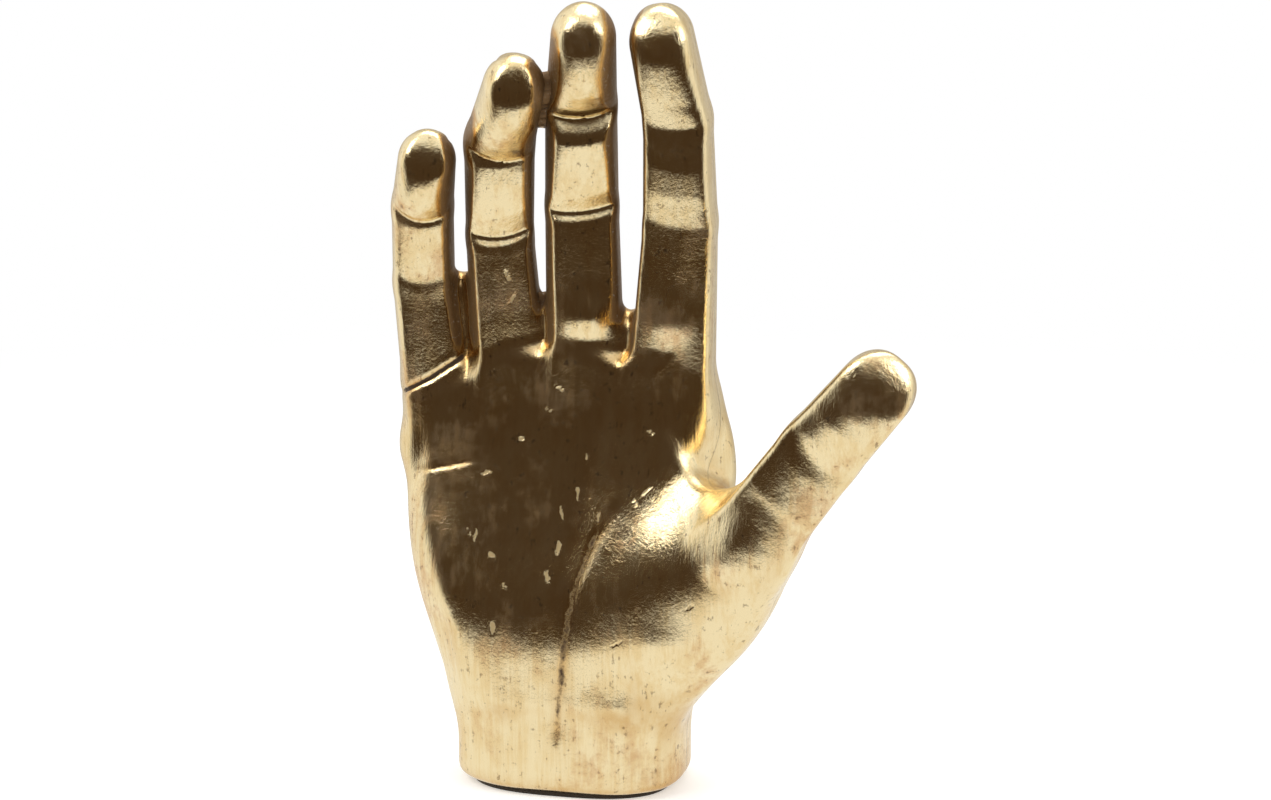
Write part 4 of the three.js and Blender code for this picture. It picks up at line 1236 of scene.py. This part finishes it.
class HAND_OT_studio(bpy.types.Operator):
    """Build the table, the soft studio light and the camera"""
    bl_idname = "hand.studio"
    bl_label = "Studio"

    # The middle of the dark side, as shares to the thumb's side and to the front, and where its edge and the
    # far side's edge fade.
    DARK_HEADING, DARK_EDGE, FAR_EDGE = (0.07, 0.998), (0.20, 0.54), (0.45, 0.9)
    # Lamps: place, size and power. They and the camera aim at the hand.
    LAMPS = {
        "key": ((-1.1, -0.9, 1.7), 1.2, 16.0),
        "fill": ((1.5, -0.5, 1.3), 1.0, 8.0),
        "top": ((0.1, 0.6, 2.0), 1.4, 14.0),
    }
    LAMP_AIM = (0, 0, 0.16)
    CAMERA_AIM = (0.0310, -0.008, 0.18145)

    def execute(self, context):
        scene = context.scene
        self.table(scene.hand_studio)
        self.room(scene)
        for name, (place, size, power) in self.LAMPS.items():
            data = bpy.data.lights.new(name, "AREA")
            data.energy, data.size = power, size
            self.aimed(scene, data, place, self.LAMP_AIM)
        self.camera(scene)
        scene.view_settings.view_transform = "Standard"
        return {"FINISHED"}

    def aimed(self, scene, data, place, aim):
        """Puts a lamp or camera in its place and turns it to its aim."""
        made = bpy.data.objects.new(data.name, data)
        scene.collection.objects.link(made)
        made.location = place
        made.rotation_mode = "QUATERNION"
        made.rotation_quaternion = (Vector(aim) - made.location).to_track_quat("-Z", "Y")
        return made

    def side(self, x, y):
        """How far a level direction lies in the dark side, and in the far side."""
        reach = (x * x + y * y) ** 0.5
        dark = self.DARK_HEADING[0] * x / reach - self.DARK_HEADING[1] * y / reach
        return dark.between(*self.DARK_EDGE), (y / reach).between(*self.FAR_EDGE)

    def table(self, studio):
        """A plain table that the metal sees as lit near the hand and as the room beyond."""
        deselect()
        bpy.ops.mesh.primitive_plane_add(size=9)
        floor = fix("table_top")
        f, at = new_finish("table")
        x, y, _ = f.parts(at)
        reach = (x * x + y * y) ** 0.5
        dark, far = self.side(x, y + 0.0001)
        lit = 1.0 - reach.between(studio.table_reach - 0.04, studio.table_reach + 0.06)
        seen = f.mix(far, (0.92, 0.90, 0.87), studio.far_side)
        seen = f.mix(dark, seen, studio.dark_side)
        seen = f.mix(lit, seen, (0.96, 0.94, 0.91))
        white = (1.0, 1.0, 1.0)
        plain = f.node("BsdfDiffuse", {}, {"Color": studio.floor})
        shown = f.node("AddShader", {}, {0: plain, 1: f.glow(white, 0.35)})
        shown = f.blend(reach.between(0.3, 1.2), shown, f.glow(white))
        surface = f.blend(f.ray("Camera"), plain, shown)
        surface = f.blend(f.ray("Glossy"), surface, f.glow(seen))
        f.node("OutputMaterial", {}, {"Surface": surface})
        dress(floor, f.owner)

    def room(self, scene):
        """White to the camera, and to the metal a bright room with a dark and a far side."""
        scene.world = bpy.data.worlds.new("studio")
        studio, f = scene.hand_studio, Finish(scene.world)
        x, y, z = f.parts(f.node("TexCoord"))
        dark, far = self.side(x, y)
        level = 1.0 - z.between(0.60, 0.80)
        seen = f.mix(far * level, (1.0, 0.99, 0.97), studio.far_side)
        seen = f.mix(dark * level, seen, studio.dark_side)
        tone = f.mix(f.ray("Glossy"), (0.62, 0.62, 0.62), seen)
        tone = f.mix(f.ray("Camera"), tone, (1.0, 1.0, 1.0))
        backdrop = f.node("Background", {}, {"Color": tone, "Strength": 1.0})
        f.node("OutputWorld", {}, {"Surface": backdrop})

    def camera(self, scene):
        studio = scene.hand_studio
        turn, reach = studio.camera_azimuth, studio.camera_reach
        data = bpy.data.cameras.new("camera")
        data.lens, data.sensor_width = studio.camera_lens, 36.0
        place = (reach * math.sin(turn), -reach * math.cos(turn), studio.camera_height)
        scene.camera = self.aimed(scene, data, place, self.CAMERA_AIM)


class HAND_PT_panel(bpy.types.Panel):
    """Lists the pieces of the gilded hand"""
    bl_idname = "HAND_PT_panel"
    bl_label = "Gilded hand"
    bl_space_type = "VIEW_3D"
    bl_region_type = "UI"
    bl_category = "Hand"

    def draw(self, context):
        for step in STEPS:
            self.layout.operator(step.bl_idname)


STEPS = (HAND_OT_casting, HAND_OT_ballast, HAND_OT_board, HAND_OT_bung, HAND_OT_felt,
         HAND_OT_studio)
CLASSES = (HandSizes, HandFinish, HandStudio, *STEPS, HAND_PT_panel)


def register():
    for kind in CLASSES:
        bpy.utils.register_class(kind)
    bpy.types.Scene.hand_sizes = PointerProperty(type=HandSizes)
    bpy.types.Scene.hand_finish = PointerProperty(type=HandFinish)
    bpy.types.Scene.hand_studio = PointerProperty(type=HandStudio)


def unregister():
    del bpy.types.Scene.hand_sizes, bpy.types.Scene.hand_finish, bpy.types.Scene.hand_studio
    for kind in reversed(CLASSES):
        bpy.utils.unregister_class(kind)


def main():
    register()
    bpy.ops.hand.casting()
    bpy.ops.hand.ballast()
    bpy.ops.hand.board()
    bpy.ops.hand.bung()
    bpy.ops.hand.felt()
    bpy.ops.hand.studio()


if __name__ == "__main__":
    main()
